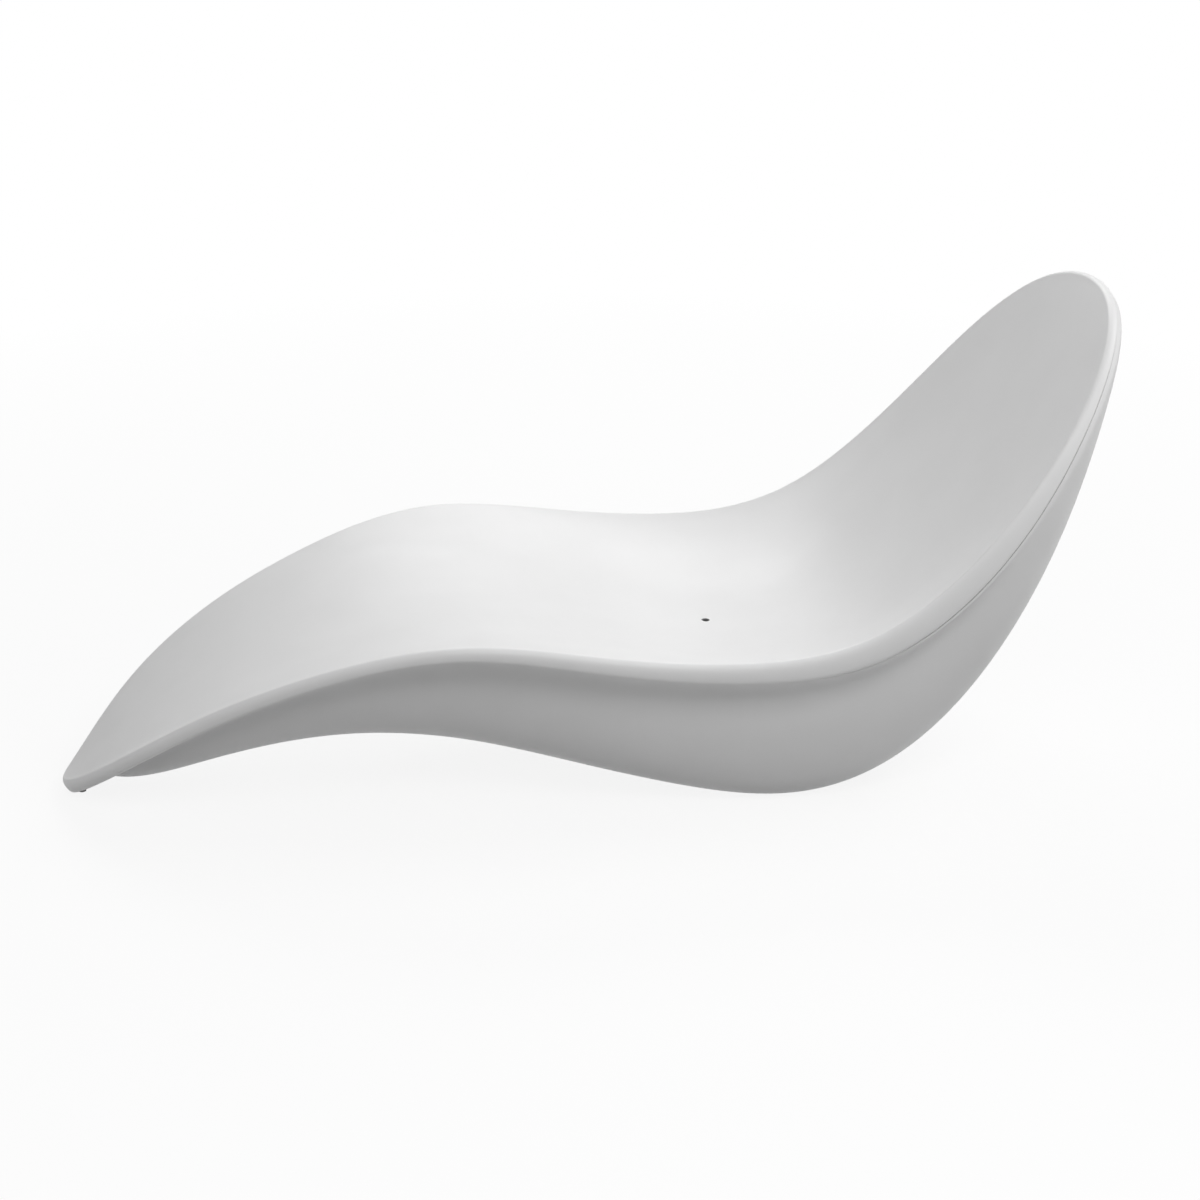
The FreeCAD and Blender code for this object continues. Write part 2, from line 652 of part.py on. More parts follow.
nodes = [
    add_shape("seat_shell", seat_shell_solid()),
    add_shape("hull_shell", hull_shell_solid()),
    add_shape("joint_bead", joint_bead_solid()),
]
nodes += [former(name) for name in FORMERS]
nodes += [
    stringer("stringer_left", "-" + STRINGER_OFFSET),
    stringer("stringer_right", STRINGER_OFFSET),
    base_plate(),
    grouped("base_pads", pad, [(place, across, "0") for place, across in PAD_SPOTS]),
    grouped("pad_screws", screw, [(place, across, "screw_head_depth") for place, across in PAD_SPOTS]),
    grouped("pad_inserts", insert,
            [(place, across, "pad_height + pad_clearance") for place, across in PAD_SPOTS]),
    turned("toe_glide", (
        ("0", "0"), ("glide_radius", "0"), ("glide_radius", "crest_rise * glide_height_share"),
        ("0", "crest_rise * glide_height_share"),
    ), (GLIDE, "0", "0")),
    tube("drain_gasket", "spigot_bore", "spigot_flange_radius", "gasket_height", (DRAIN, "0", GASKET_LOW)),
    spigot,
    tube("drain_pipe", pipe_in, pipe_in + " + pipe_wall", pipe_high + " - (" + pipe_low + ")",
         (DRAIN, "0", pipe_low)),
    grouped("pipe_clips", clip, [
        (DRAIN, "0", pipe_low + " + outlet_tail / 2 - clip_width / 2"),
        (DRAIN, "0", pipe_high + " - spigot_length / 2 - clip_width / 2"),
    ]),
    outlet,
    tube("outlet_gasket", "outlet_radius + outlet_clearance", "outlet_flange_radius", "gasket_height",
         (DRAIN, "0", "hull_boss_lift + hull_boss_height")),
    combined("Cut", "outlet_nut", nut_blank, nut_bore),
]
doc.recompute()

for item in doc.Objects:
    if "Invalid" in item.State or "Error" in item.State:
        raise RuntimeError("failed: " + item.Label)
for node in nodes:
    if node.Shape.isNull() or not node.Shape.isValid():
        raise RuntimeError("bad shape: " + node.Label)
os.makedirs("parts", exist_ok=True)
for node in nodes:
    node.Shape.exportStep("parts/" + node.Label + ".step")
    box = node.Shape.BoundBox
    print("%-16s %2d solid(s) %10.0f mm3  x %7.1f %7.1f  y %7.1f %7.1f  z %6.1f %6.1f" % (
        node.Label, len(node.Shape.Solids), node.Shape.Volume,
        box.XMin, box.XMax, box.YMin, box.YMax, box.ZMin, box.ZMax))
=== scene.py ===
import json
import math

import bpy
import numpy as np
from mathutils import Matrix, Vector


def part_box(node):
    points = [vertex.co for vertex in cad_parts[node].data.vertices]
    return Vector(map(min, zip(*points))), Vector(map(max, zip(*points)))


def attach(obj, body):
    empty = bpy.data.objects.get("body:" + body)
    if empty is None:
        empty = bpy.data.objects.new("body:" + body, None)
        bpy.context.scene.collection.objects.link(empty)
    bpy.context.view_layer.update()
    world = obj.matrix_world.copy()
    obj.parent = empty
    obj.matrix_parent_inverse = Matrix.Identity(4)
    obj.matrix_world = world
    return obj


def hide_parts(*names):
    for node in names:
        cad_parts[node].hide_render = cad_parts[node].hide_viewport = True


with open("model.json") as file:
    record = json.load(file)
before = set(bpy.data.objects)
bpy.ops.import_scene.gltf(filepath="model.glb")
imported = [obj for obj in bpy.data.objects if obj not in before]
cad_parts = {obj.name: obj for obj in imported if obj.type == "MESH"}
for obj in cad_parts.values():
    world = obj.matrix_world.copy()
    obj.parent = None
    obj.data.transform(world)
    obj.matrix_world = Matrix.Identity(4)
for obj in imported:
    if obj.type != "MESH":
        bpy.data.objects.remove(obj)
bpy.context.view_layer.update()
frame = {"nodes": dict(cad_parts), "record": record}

# A moulded spa lounger: a dished seat shell with a rolled rim over a smooth hull.
# The foot points to -X and the head to +X, Y runs across, and the floor is z = 0. Lengths are in metres.

bl_info = {
    "name": "Spa relaxation lounger",
    "version": (1, 0, 0),
    "blender": (4, 5, 0),
    "location": "View3D > Sidebar > Lounger",
    "description": "Builds a moulded spa lounger, its finishes and a plain studio round it",
    "category": "Object",
}

# Thirteen stations from the foot tip to the head, evenly turned on a half circle
LAST = 12
RING = 2 * LAST
WIDTH_SHARES = (0, 0.168, 0.440, 0.642, 0.795, 0.928, 0.990, 0.998, 0.995, 0.955, 0.800, 0.465, 0)
RISE_SHARES = (0.034, 0.065, 0.165, 0.283, 0.382, 0.438, 0.408, 0.380, 0.425, 0.598, 0.808, 0.955, 1)
DISH_SHARES = (0.20, 0.25, 0.30, 0.36, 0.40, 0.50, 0.75, 1.00, 1.10, 1.05, 0.90, 0.70, 0.60)
LIP_SHARES = (0.60, 0.53, 0.48, 0.49, 0.46, 0.50, 0.60, 0.73, 0.90, 0.77, 0.42, 0.28, 0.26)
INSET_SHARES = (0.60, 0.50, 0.36, 0.30, 0.28, 0.26, 0.22, 0.18, 0.10, 0.05, 0.034, 0.034, 0.034)
KEEL_SHARES = (0.027, 0.026, 0.046, 0.107, 0.153, 0.145, 0.079, 0.010, 0, 0, 0, 0, 0)
BASE_WIDTH_SHARES = (0, 0.09, 0.19, 0.25, 0.31, 0.40, 0.50, 0.56, 0.55, 0.40, 0.25, 0.12, 0)
BASE_REACH_SHARES = (0.965, 0.965, 0.97, 0.98, 0.98, 0.98, 1, 1, 0.60, 0.44, 0.36, 0.325, 0.315)
NECK_SHARES = (0, 0.10, 0.45, 0.70, 0.90, 1, 1, 1, 0.80, 0.25, 0.05, 0, 0)
NECK_FALL_SHARES = (0, 0.2, 0.5, 0.8, 1, 1, 1, 1, 1, 1, 1, 1, 1)
SWELL_SHARES = (0, 0, 0, 0, 0, 0, 0, 0, 0, 0, 0.02, 0.03, 0.03)
SEAT_RING_SHARES = (0.004, 0.08, 0.18, 0.29, 0.40, 0.51, 0.62, 0.73, 0.83, 0.91, 0.96)
DISH_POWER = 2.4
# Sections of the rolled rim, out from the crest and down: flatter at the head,
# rounder along the seat and legs
HEAD_LIP = ((-0.30, 0.015), (0.00, -0.035), (0.28, 0.005), (0.54, 0.12), (0.76, 0.30), (0.92, 0.53),
            (1, 0.77), (0.99, 0.92), (0.90, 0.985), (0.76, 1), (0.65, 1))
SEAT_LIP = ((-0.30, 0.015), (0.00, -0.035), (0.32, 0.00), (0.62, 0.09), (0.86, 0.23), (0.98, 0.40),
            (1, 0.57), (0.95, 0.74), (0.82, 0.88), (0.58, 0.97), (0.30, 1))
LIP_ROUND_SHARES = (0.5, 1, 1, 1, 1, 1, 1, 1, 0.8, 0.2, 0, 0, 0)
RIB_TURN_SHARES = (0.22, 0.44, 0.64, 0.82, 1)
RIB_LEAN = 0.22
FLOOR_RING_SHARES = (0.90, 0.75, 0.55, 0.35, 0.18, 0.02)
# The underside of the seat stops short of the thick rim
UNDERSIDE_RING_SHARES = SEAT_RING_SHARES[-3::-1]
# Distance each way over which the slope of the side profile is taken
SLOPE_REACH = 0.005

# How finely the shells are drawn: columns between two stations, and rows over each face
COLUMNS_PER_SPAN = 12
SEAT_ROW_STEPS = np.concatenate([[0, 0.004, 0.010, 0.020, 0.034], np.arange(0.05, 0.6, 0.0125),
                                 np.linspace(0.6, 1, 45)])
UNDERSIDE_ROWS, HULL_OUTER_ROWS, HULL_INNER_ROWS = 30, 72, 40
MOUTH_TURNS = np.linspace(0, math.pi / 2, 5)[1:]
# Rings next to the drain between which its edge and its bosses lie
DRAIN_PLACES = 3
HALVINGS = 40
# Sides of what is round: drills, pads and the bead, then a screw's head, its shank and its socket
DRILL_SIDES, PAD_SIDES, BEAD_SIDES = 64, 72, 12
HEAD_SIDES, SHANK_SIDES, SOCKET_SIDES = 48, 32, 6
# Edges sharper than this many degrees stay sharp
SHELL_SHARP, PAD_SHARP, BEAD_SHARP = 32, 30, 60

# Section of a base pad: its play round the screw, its side and edges, and its grip grooves
SCREW_PLAY = 0.0003
PAD_INSET, PAD_ROUND, PAD_ROUND_MIDDLE, PAD_CHAMFER = 0.0001, 0.002, 0.0008, 0.0004
GROOVES, GROOVE_FROM_BORE, GROOVE_FROM_ROUND = 4, 0.003, 0.004
GROOVE_HALF_MOUTH, GROOVE_HALF_FLOOR = 0.0007, 0.0005
# How far the parts of a screw reach into each other before they are joined or cut
SCREW_OVERLAP = 0.0002

# Painted shade in the drain hole: how light it is, and over what distance the white begins
PAINTED_BORE_SHADE, PAINTED_BORE_FADE = 0.14, 0.0003
# The sealant lies deep in a narrow joint, so it is drawn darker than its own grey: painted shade of the joint
JOINT_PAINTED_SHADE = 0.5

# Softboxes: name, place, what they face, and their size
SOFTBOXES = (
    ("head_side", (3.6, 0.0, 4.5), (0.2, 0, 0.3), (2.8, 2.8)),
    ("foot_side", (-1.9, 0.0, 2.4), (-0.2, 0, 0.3), (1.4, 1.4)),
    ("front", (0.2, -2.3, 2.5), (0.0, 0, 0.3), (2.4, 0.9)),
    ("rear", (0.2, 2.4, 2.6), (0.0, 0, 0.3), (2.4, 1.2)),
    ("near_head", (2.3, -2.3, 1.6), (0.3, 0, 0.4), (1.2, 1.2)),
    ("near_foot", (-2.3, -2.3, 1.6), (-0.3, 0, 0.3), (1.2, 1.2)),
    ("past_foot", (-3.0, -0.5, 1.2), (-0.2, 0, 0.3), (1.2, 1.2)),
)
FLOOR_REACH = 30.0
# The camera: degrees round from the front, up and rolled, what it faces, how far off, and its lens in mm
CAMERA_TURN, CAMERA_CLIMB, CAMERA_ROLL = -10, 22.5, 0.45
CAMERA_TARGET = (0.0358, 0, 0.309)
CAMERA_DISTANCE = 4.5
LENS_LENGTH, SENSOR_WIDTH = 75, 36

FORMERS = tuple(name + "_former" for name in
                ("shin", "calf", "knee", "thigh", "seat", "hip", "lumbar", "back", "head"))


# Sizes, colours and studio settings

def length(name, description, default):
    return bpy.props.FloatProperty(name=name, description=description, default=default, unit="LENGTH",
                                   precision=4)


def share(name, description, default):
    return bpy.props.FloatProperty(name=name, description=description, default=default, min=0, max=1,
                                   subtype="FACTOR")


def strength(name, description, default):
    return bpy.props.FloatProperty(name=name, description=description, default=default, min=0)


def colour(name, description, slot):
    """A colour that starts as the one the record gives for a material slot."""
    recorded = {entry["slot"]: entry["base_color"] for entry in frame["record"]["materials"]}
    return bpy.props.FloatVectorProperty(name=name, description=description, default=recorded[slot],
                                         subtype="COLOR", size=3, min=0, max=1)


class LoungerSizes(bpy.types.PropertyGroup):
    crest_length: length("Crest length", "Rim crest from the foot tip to the head, seen from above", 1.848)
    foot_reach: length("Foot reach", "Middle of the lounger to the foot tip of the crest", 0.9307)
    crest_half_width: length("Crest half width", "Middle plane to the rim crest at its widest", 0.364)
    crest_rise: length("Crest rise", "Underside of the hull to the crest at the head", 0.863)
    floor_gap: length("Floor gap", "Floor to the underside of the hull", 0.0015)
    drain_at: length("Drain at", "Foot tip of the crest to the drain", 1.1618)
    drain_radius: length("Drain radius", "Drain hole in the seat", 0.0055)
    drain_edge: length("Drain edge", "Round of the drain hole's edge", 0.0018)
    dish_depth: length("Dish depth", "Crest to the seat face at the drain", 0.072)
    seat_wall: length("Seat wall", "Thickness of the seat shell", 0.008)
    seat_boss_drop: length("Seat boss drop", "Flat boss under the seat at the drain", 0.003)
    boss_radius: length("Boss radius", "Boss round the drain, on the seat and on the hull", 0.026)
    lip_height: length("Lip height", "Scale of the rim face, crest to its lower edge", 0.050)
    lip_bulge: length("Lip bulge", "Crest to the outermost line of the rim", 0.0105)
    rim_land: length("Rim land", "Rim underside that reaches inside the hull wall", 0.008)
    hull_inset: length("Hull inset", "Scale of the step from the rim face in to the hull", 0.090)
    hull_wall: length("Hull wall", "Thickness of the hull shell", 0.006)
    hull_lead: length("Hull lead", "Straight run of the hull wall below the joint", 0.006)
    hull_boss_lift: length("Hull boss lift", "Floor to the outlet boss", 0.005)
    hull_boss_height: length("Hull boss height", "Boss round the outlet in the hull", 0.017)
    outlet_bore: length("Outlet bore", "Radius of the hole for the outlet", 0.0123)
    neck_depth: length("Neck depth", "How far the hull is drawn in below the joint", 0.045)
    neck_fall: length("Neck fall", "Height over which the hull is drawn in below the joint", 0.012)
    joint_gap: length("Joint gap", "Rim underside to the top edge of the hull", 0.0015)
    bead_recess: length("Bead recess", "Sealant bead behind the face of the hull", 0.0005)
    bead_radius: length("Bead radius", "Sealant bead in the joint", 0.00062)
    pad_height: length("Pad height", "Rubber base pad", 0.012)
    pad_clearance: length("Pad clearance", "Base pad to its hole in the hull", 0.0004)
    groove_depth: length("Groove depth", "Grip grooves under a base pad", 0.0008)
    glide_clearance: length("Glide clearance", "Toe glide to its pocket in the rim", 0.0003)
    screw_radius: length("Screw radius", "Pad screw shank", 0.003)
    screw_head_height: length("Screw head height", "Pad screw head", 0.0035)
    socket_radius: length("Socket radius", "Hexagon socket in a pad screw, across its corners", 0.0023)
    socket_depth: length("Socket depth", "Hexagon socket in a pad screw", 0.002)


class LoungerColours(bpy.types.PropertyGroup):
    seat_white: colour("Seat white", "Gelcoat of the seat shell", "seat_gelcoat")
    hull_white: colour("Hull white", "Gelcoat of the hull", "hull_gelcoat")
    joint_grey: colour("Joint grey", "Sealant in the joint", "bead_sealant")
    birch: colour("Birch", "Plywood frame", "birch_ply")
    pad_black: colour("Pad black", "Rubber pads and glide", "pad_rubber")
    glide_pale: share("Glide pale", "Rubber glide under the foot tip, pale so that it hardly shows", 0.42)
    gasket_black: colour("Gasket black", "Drain gaskets", "gasket_rubber")
    pipe_black: colour("Pipe black", "Drain pipe", "pipe_rubber")
    drain_white: colour("Drain white", "Drain spigot, outlet and nut", "drain_plastic")
    screw_steel: colour("Screw steel", "Pad screws", "screw_steel")
    clip_steel: colour("Clip steel", "Pipe clips", "clip_steel")
    insert_brass: colour("Insert brass", "Threaded inserts", "insert_brass")


class LoungerStudio(bpy.types.PropertyGroup):
    head_side: strength("Head side", "Power of the softbox above the head end, in watts", 122)
    foot_side: strength("Foot side", "Power of the softbox above the foot end, in watts", 4)
    front: strength("Front", "Power of the softbox above and before the lounger, in watts", 34)
    rear: strength("Rear", "Power of the softbox above and behind the lounger, in watts", 41)
    near_head: strength("Near head", "Power of the softbox before the head end, in watts", 9)
    near_foot: strength("Near foot", "Power of the softbox before the foot end, in watts", 5)
    past_foot: strength("Past foot", "Power of the low softbox past the foot, in watts", 9)
    sky: strength("Sky", "Strength of the even light all round", 0)
    floor_grey: share("Floor grey", "How light the floor is to other things", 0.52)
    floor_seen: share("Floor seen", "How light the floor is to the camera, before its lift", 0.95)
    floor_lift: share("Floor lift", "Lift to white of the floor near the lounger, for the camera", 0.88)
    floor_near: length("Floor near", "Distance up to which the floor's lift stays as it is", 1.1)
    floor_far: length("Floor far", "Distance past which the camera sees the floor as white", 3.2)


# The shape of the shells

class LoungerShape:
    """The rings that both shells are drawn over, worked out from the sizes."""

    def __init__(self, sizes):
        self.sizes = sizes
        self.foot_x = -sizes.foot_reach
        self.drain = np.array([self.foot_x + sizes.drain_at, 0, 0])
        self.crest = np.array([self.crest_point(k) for k in range(RING)])
        self.down = np.array([self.down_at(x) for x in self.crest[:, 0]])
        poles = closed_poles(self.crest)
        across = np.cross(self.down, np.roll(poles, -1, axis=0) - np.roll(poles, 1, axis=0))
        across /= np.linalg.norm(across, axis=1)[:, None]
        facing = np.sign(np.sum(across * (self.crest - self.drain), axis=1))
        self.outward = across * facing[:, None]

    def share_at(self, shares, x):
        """Smooth curve through the shares of the stations, read at a place along the lounger."""
        run = min(max((x - self.foot_x) / self.sizes.crest_length, 0), 1)
        place = math.acos(1 - 2 * run) / math.pi * LAST
        left = min(int(place), LAST - 1)
        step = place - left
        mirrored = (shares[1],) + tuple(shares) + (shares[-2],)
        before, here, after, beyond = mirrored[left:left + 4]
        bend = 2 * before - 5 * here + 4 * after - beyond
        twist = 3 * here - before - 3 * after + beyond
        return (2 * here + (after - before) * step + bend * step ** 2 + twist * step ** 3) / 2

    def crest_height(self, x):
        return self.sizes.floor_gap + self.sizes.crest_rise * self.share_at(RISE_SHARES, x)

    def keel_height(self, x):
        return self.sizes.floor_gap + self.sizes.crest_rise * self.share_at(KEEL_SHARES, x)

    def down_at(self, x):
        """Square to the side profile of the seat, away from the sitter."""
        head_x = self.foot_x + self.sizes.crest_length
        middle = min(max(x, self.foot_x + SLOPE_REACH), head_x - SLOPE_REACH)
        climb = self.crest_height(middle + SLOPE_REACH) - self.crest_height(middle - SLOPE_REACH)
        slope = math.atan2(climb, 2 * SLOPE_REACH)
        return np.array([math.sin(slope), 0, -math.cos(slope)])

    def crest_point(self, k):
        run = (1 - math.cos(math.pi * station(k) / LAST)) / 2
        across = side(k) * self.sizes.crest_half_width * WIDTH_SHARES[station(k)]
        x = self.foot_x + self.sizes.crest_length * run
        return x, across, self.sizes.floor_gap + self.sizes.crest_rise * RISE_SHARES[station(k)]

    def rim_ring(self, out, drop):
        """A ring round the rim: out from the crest, and down from it."""
        return self.crest + self.outward * np.reshape(out, (-1, 1)) + self.down * np.reshape(drop, (-1, 1))

    def lip_drop(self):
        return self.sizes.lip_height * each_side(LIP_SHARES)

    def hull_face(self):
        """Outer face of the hull at the joint, measured out from the crest."""
        return self.sizes.lip_bulge - self.sizes.hull_inset * each_side(INSET_SHARES)

    def joint_ring(self, depth, drop):
        return self.rim_ring(self.hull_face() - depth, self.lip_drop() + drop)

    def seat_level(self, x, share):
        dish = self.sizes.dish_depth * self.share_at(DISH_SHARES, x)
        return self.crest_height(x) - dish * (1 - share ** DISH_POWER)

    def seat_ring(self, share, depth):
        ring = []
        for point in self.crest:
            x = self.drain[0] + share * (point[0] - self.drain[0])
            ring.append(np.array([x, share * point[1], self.seat_level(x, share)]) + self.down_at(x) * depth)
        return np.array(ring)

    def corner_ring(self, depth):
        """Where the underside of the seat meets the inner face of the thick rim."""
        out = self.hull_face() - self.sizes.hull_wall - self.sizes.rim_land
        reach = np.abs(np.sum((self.crest - self.drain) * self.outward, axis=1))
        ring = []
        for place, share in zip(self.rim_ring(out, np.zeros(RING)), 1 + out / reach):
            face = np.array([place[0], place[1], self.seat_level(place[0], share)])
            ring.append(face + self.down_at(place[0]) * depth)
        return np.array(ring)

    def hull_rings(self, depth):
        """Rings of the hull at a depth behind its outer face, from the joint to the outlet."""
        start = self.sizes.joint_gap
        lead = start + self.sizes.hull_lead
        neck = each_side(NECK_SHARES)
        rings = [self.joint_ring(depth, start), self.joint_ring(depth, (start + lead) / 2),
                 self.joint_ring(depth, lead - depth * neck / 2),
                 self.joint_ring(depth + self.sizes.neck_depth * neck,
                                 lead + self.sizes.neck_fall * each_side(NECK_FALL_SHARES) - depth * neck)]
        top = rings[-1]
        base = []
        for k, edge in enumerate(self.joint_ring(0, lead)):
            x = self.drain[0] + BASE_REACH_SHARES[station(k)] * (edge[0] - self.drain[0])
            across = side(k) * self.sizes.crest_half_width * BASE_WIDTH_SHARES[station(k)]
            place = np.array([x, across, 0])
            inward = (self.drain - place) / np.linalg.norm(self.drain - place) * depth
            base.append(place + inward + np.array([0, 0, self.keel_height(x) + depth]))
        base = np.array(base)
        for turn_share in RIB_TURN_SHARES:
            turn = turn_share * math.pi / 2
            fall = math.sin(turn)
            sweep = (1 - RIB_LEAN) * (1 - math.cos(turn)) + RIB_LEAN * fall
            inward = sweep - each_side(SWELL_SHARES) * math.sin(2 * turn) * (1 - fall)
            rings.append(top + (base - top) * np.stack([inward, inward, np.full(RING, fall)], axis=1))
        for share in FLOOR_RING_SHARES:
            ring = []
            for point in base:
                x = self.drain[0] + share * (point[0] - self.drain[0])
                ring.append((x, share * point[1], self.keel_height(x) + depth))
            rings.append(np.array(ring))
        return rings


def station(k):
    return k if k <= LAST else RING - k


def side(k):
    return 1 if k <= LAST else -1


def each_side(shares):
    return np.array([shares[station(k)] for k in range(RING)], dtype=float)


def lip_section():
    """Shares out from the crest and down from it, at every station, for each ring of the rim."""
    roundness = each_side(LIP_ROUND_SHARES)
    for (head_out, head_drop), (seat_out, seat_drop) in zip(HEAD_LIP, SEAT_LIP):
        yield head_out + (seat_out - head_out) * roundness, head_drop + (seat_drop - head_drop) * roundness


def closed_poles(ring):
    """Poles of the closed cubic curve that passes through the points of a ring."""
    count = len(ring)
    own = np.eye(count)
    weights = (4 * own + np.roll(own, 1, axis=0) + np.roll(own, -1, axis=0)) / 6
    return np.linalg.solve(weights, np.asarray(ring, dtype=float))


def around(ring):
    """Points of the closed curve through a ring, evenly spaced between its stations."""
    poles = closed_poles(ring)
    steps = np.arange(COLUMNS_PER_SPAN) / COLUMNS_PER_SPAN
    blend = np.stack([(1 - steps) ** 3, 3 * steps ** 3 - 6 * steps ** 2 + 4,
                      -3 * steps ** 3 + 3 * steps ** 2 + 3 * steps + 1, steps ** 3], axis=1) / 6
    near = np.stack([np.roll(poles, shift, axis=0) for shift in (1, 0, -1, -2)])
    return np.einsum("sp,pkc->ksc", blend, near).reshape(-1, 3)


class Skin:
    """A smooth face over many rings, read at places between 0 and its last ring."""

    def __init__(self, rings):
        self.lines = np.stack([around(ring) for ring in rings])
        self.degree = min(3, len(rings) - 1)
        self.spans = len(rings) - self.degree
        self.knots = np.concatenate([np.zeros(self.degree), np.arange(self.spans + 1.0),
                                     np.full(self.degree, self.spans)])

    def blend(self, places):
        """Share that each ring has in the point at each place, by the usual recursion of a spline."""
        just_short = self.spans - 1e-9
        places = np.clip(places, 0, just_short)
        knots = self.knots
        table = [((low <= places) & (places < high)).astype(float) for low, high in zip(knots, knots[1:])]
        for degree in range(1, self.degree + 1):
            for i in range(len(knots) - degree - 1):
                rise = knots[i + degree] - knots[i]
                fall = knots[i + degree + 1] - knots[i + 1]
                value = np.zeros_like(places)
                if rise:
                    value += (places - knots[i]) / rise * table[i]
                if fall:
                    value += (knots[i + degree + 1] - places) / fall * table[i + 1]
                table[i] = value
        return np.stack(table[:len(self.lines)], axis=-1)

    def row(self, place):
        """One row of points, at one place or at a place of its own for each column."""
        places = np.broadcast_to(np.asarray(place, dtype=float), self.lines.shape[1:2])
        return np.einsum("cp,pcd->cd", self.blend(places), self.lines)

    def place_at_radius(self, middle, radius, inner, outer):
        """Where each column is that far from an upright line, between an inner and an outer place."""
        near = np.full(self.lines.shape[1], float(inner))
        far = np.full(self.lines.shape[1], float(outer))
        for halving in range(HALVINGS):
            half = (near + far) / 2
            inside = np.linalg.norm((self.row(half) - middle)[:, :2], axis=1) < radius
            near = np.where(inside, half, near)
            far = np.where(inside, far, half)
        return (near + far) / 2

    def rows_to_boss(self, middle, radius, count):
        """Evenly spaced rows from the first ring to the boss round an upright line."""
        boss = self.place_at_radius(middle, radius, self.spans, self.spans - DRAIN_PLACES)
        return [self.row(boss * step) for step in np.linspace(0, 1, count)]


def circle_row(row, middle, radius, height):
    """The row's directions from an upright line, on a level circle round that line."""
    away = (row - middle)[:, :2]
    away = away / np.linalg.norm(away, axis=1)[:, None] * radius
    heights = np.broadcast_to(height, away.shape[:1])
    return np.column_stack([away + middle[:2], heights])


def closed_mesh(name, rows):
    """A closed skin over rows of points, the last of which joins the first."""
    rows = np.stack(rows)
    count, columns = rows.shape[:2]
    row, column = np.meshgrid(np.arange(count), np.arange(columns), indexing="ij")
    after_row, after_column = (row + 1) % count, (column + 1) % columns
    corners = (row, column), (after_row, column), (after_row, after_column), (row, after_column)
    faces = np.stack([r * columns + c for r, c in corners], axis=-1).reshape(-1, 4)
    points = rows.reshape(-1, 3)
    first, second, third, fourth = (points[faces[:, k]] for k in range(4))
    volume = np.sum(np.cross(third - first, fourth - second) * first)
    if volume < 0:
        faces = faces[:, ::-1]
    mesh = bpy.data.meshes.new(name)
    mesh.from_pydata(points.tolist(), [], faces.tolist())
    mesh.validate()
    return mesh


# Making pieces

def placed(name, mesh, materials=()):
    """A piece in the scene, with the materials of its mesh."""
    piece = bpy.data.objects.new(name, mesh)
    bpy.context.scene.collection.objects.link(piece)
    for entry in materials:
        mesh.materials.append(entry)
    return piece


def baked(piece):
    """The piece as a plain mesh, with its modifiers worked in and taken off."""
    graph = bpy.context.evaluated_depsgraph_get()
    graph.update()
    mesh = bpy.data.meshes.new_from_object(piece.evaluated_get(graph))
    piece.modifiers.clear()
    if piece.type == "MESH":
        old = piece.data
        piece.data = mesh
        bpy.data.meshes.remove(old)
        mesh.name = piece.name
        return piece
    name = piece.name
    bpy.data.objects.remove(piece)
    mesh.name = name
    return placed(name, mesh)


def smoothed(piece, degrees):
    """Smooth faces, with the edges past an angle left sharp."""
    piece.data.shade_smooth()
    piece.data.set_sharp_from_angle(angle=math.radians(degrees))


def circle(middle, radius, height, sides):
    """Points of a level circle round a middle."""
    turns = np.arange(sides) / sides * 2 * math.pi
    return np.column_stack([middle[0] + radius * np.cos(turns), middle[1] + radius * np.sin(turns),
                            np.full(sides, height)])


def lathed(name, profile, middle, sides):
    """A closed turned mesh from (radius, height) corners that loop round its section."""
    return closed_mesh(name, [circle(middle, radius, height, sides) for radius, height in profile])


def bored(piece, cutters):
    """Cuts the cutters out of a piece, then takes them away."""
    for cutter in cutters:
        boolean = piece.modifiers.new("bore", "BOOLEAN")
        boolean.operation = "DIFFERENCE"
        boolean.solver = "EXACT"
        boolean.object = cutter
    piece = baked(piece)
    for cutter in cutters:
        bpy.data.objects.remove(cutter)
    return piece


def drill(name, middle, radius, low, high):
    """A plain closed rod that a hole is cut with."""
    points = np.concatenate([circle(middle, radius, height, DRILL_SIDES) for height in (low, high)])
    faces = [(k, (k + 1) % DRILL_SIDES, DRILL_SIDES + (k + 1) % DRILL_SIDES, DRILL_SIDES + k)
             for k in range(DRILL_SIDES)]
    faces += [tuple(range(DRILL_SIDES))[::-1], tuple(range(DRILL_SIDES, 2 * DRILL_SIDES))]
    mesh = bpy.data.meshes.new(name)
    mesh.from_pydata(points.tolist(), [], faces)
    return placed(name, mesh)


def coated(piece, finish):
    """Gives a shell its gelcoat in place of what its cutters left."""
    piece.data.materials.clear()
    piece.data.materials.append(finish)
    smoothed(piece, SHELL_SHARP)


def hand_over(piece, slot, *nodes):
    """Hangs a finished piece under the root body and hides the CAD nodes it stands for; its material slot is
    not used.
    """
    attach(piece, "root")
    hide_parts(*nodes)


def dress(finish, *nodes):
    """Gives CAD nodes their finish."""
    for node in nodes:
        piece = frame["nodes"][node]
        if not piece.material_slots:
            piece.data.materials.append(finish)
        for entry in piece.material_slots:
            entry.material = finish


def node_middles(node):
    """Middle of each of the four solids of a CAD node, one in each corner, read from its own mesh."""
    piece = frame["nodes"][node]
    points = np.array([piece.matrix_world @ vertex.co for vertex in piece.data.vertices])
    centre_x = (points[:, 0].max() + points[:, 0].min()) / 2
    middles = []
    for sign_x in (-1, 1):
        for sign_y in (-1, 1):
            part = points[(np.sign(points[:, 0] - centre_x) == sign_x) & (np.sign(points[:, 1]) == sign_y)]
            middles.append((part.max(axis=0) + part.min(axis=0)) / 2)
    return middles


def node_radius(node):
    """Radius of each round solid of a CAD node, from how far it spreads on both sides of its middle."""
    low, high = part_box(node)
    return high[1] - max(middle[1] for middle in node_middles(node))


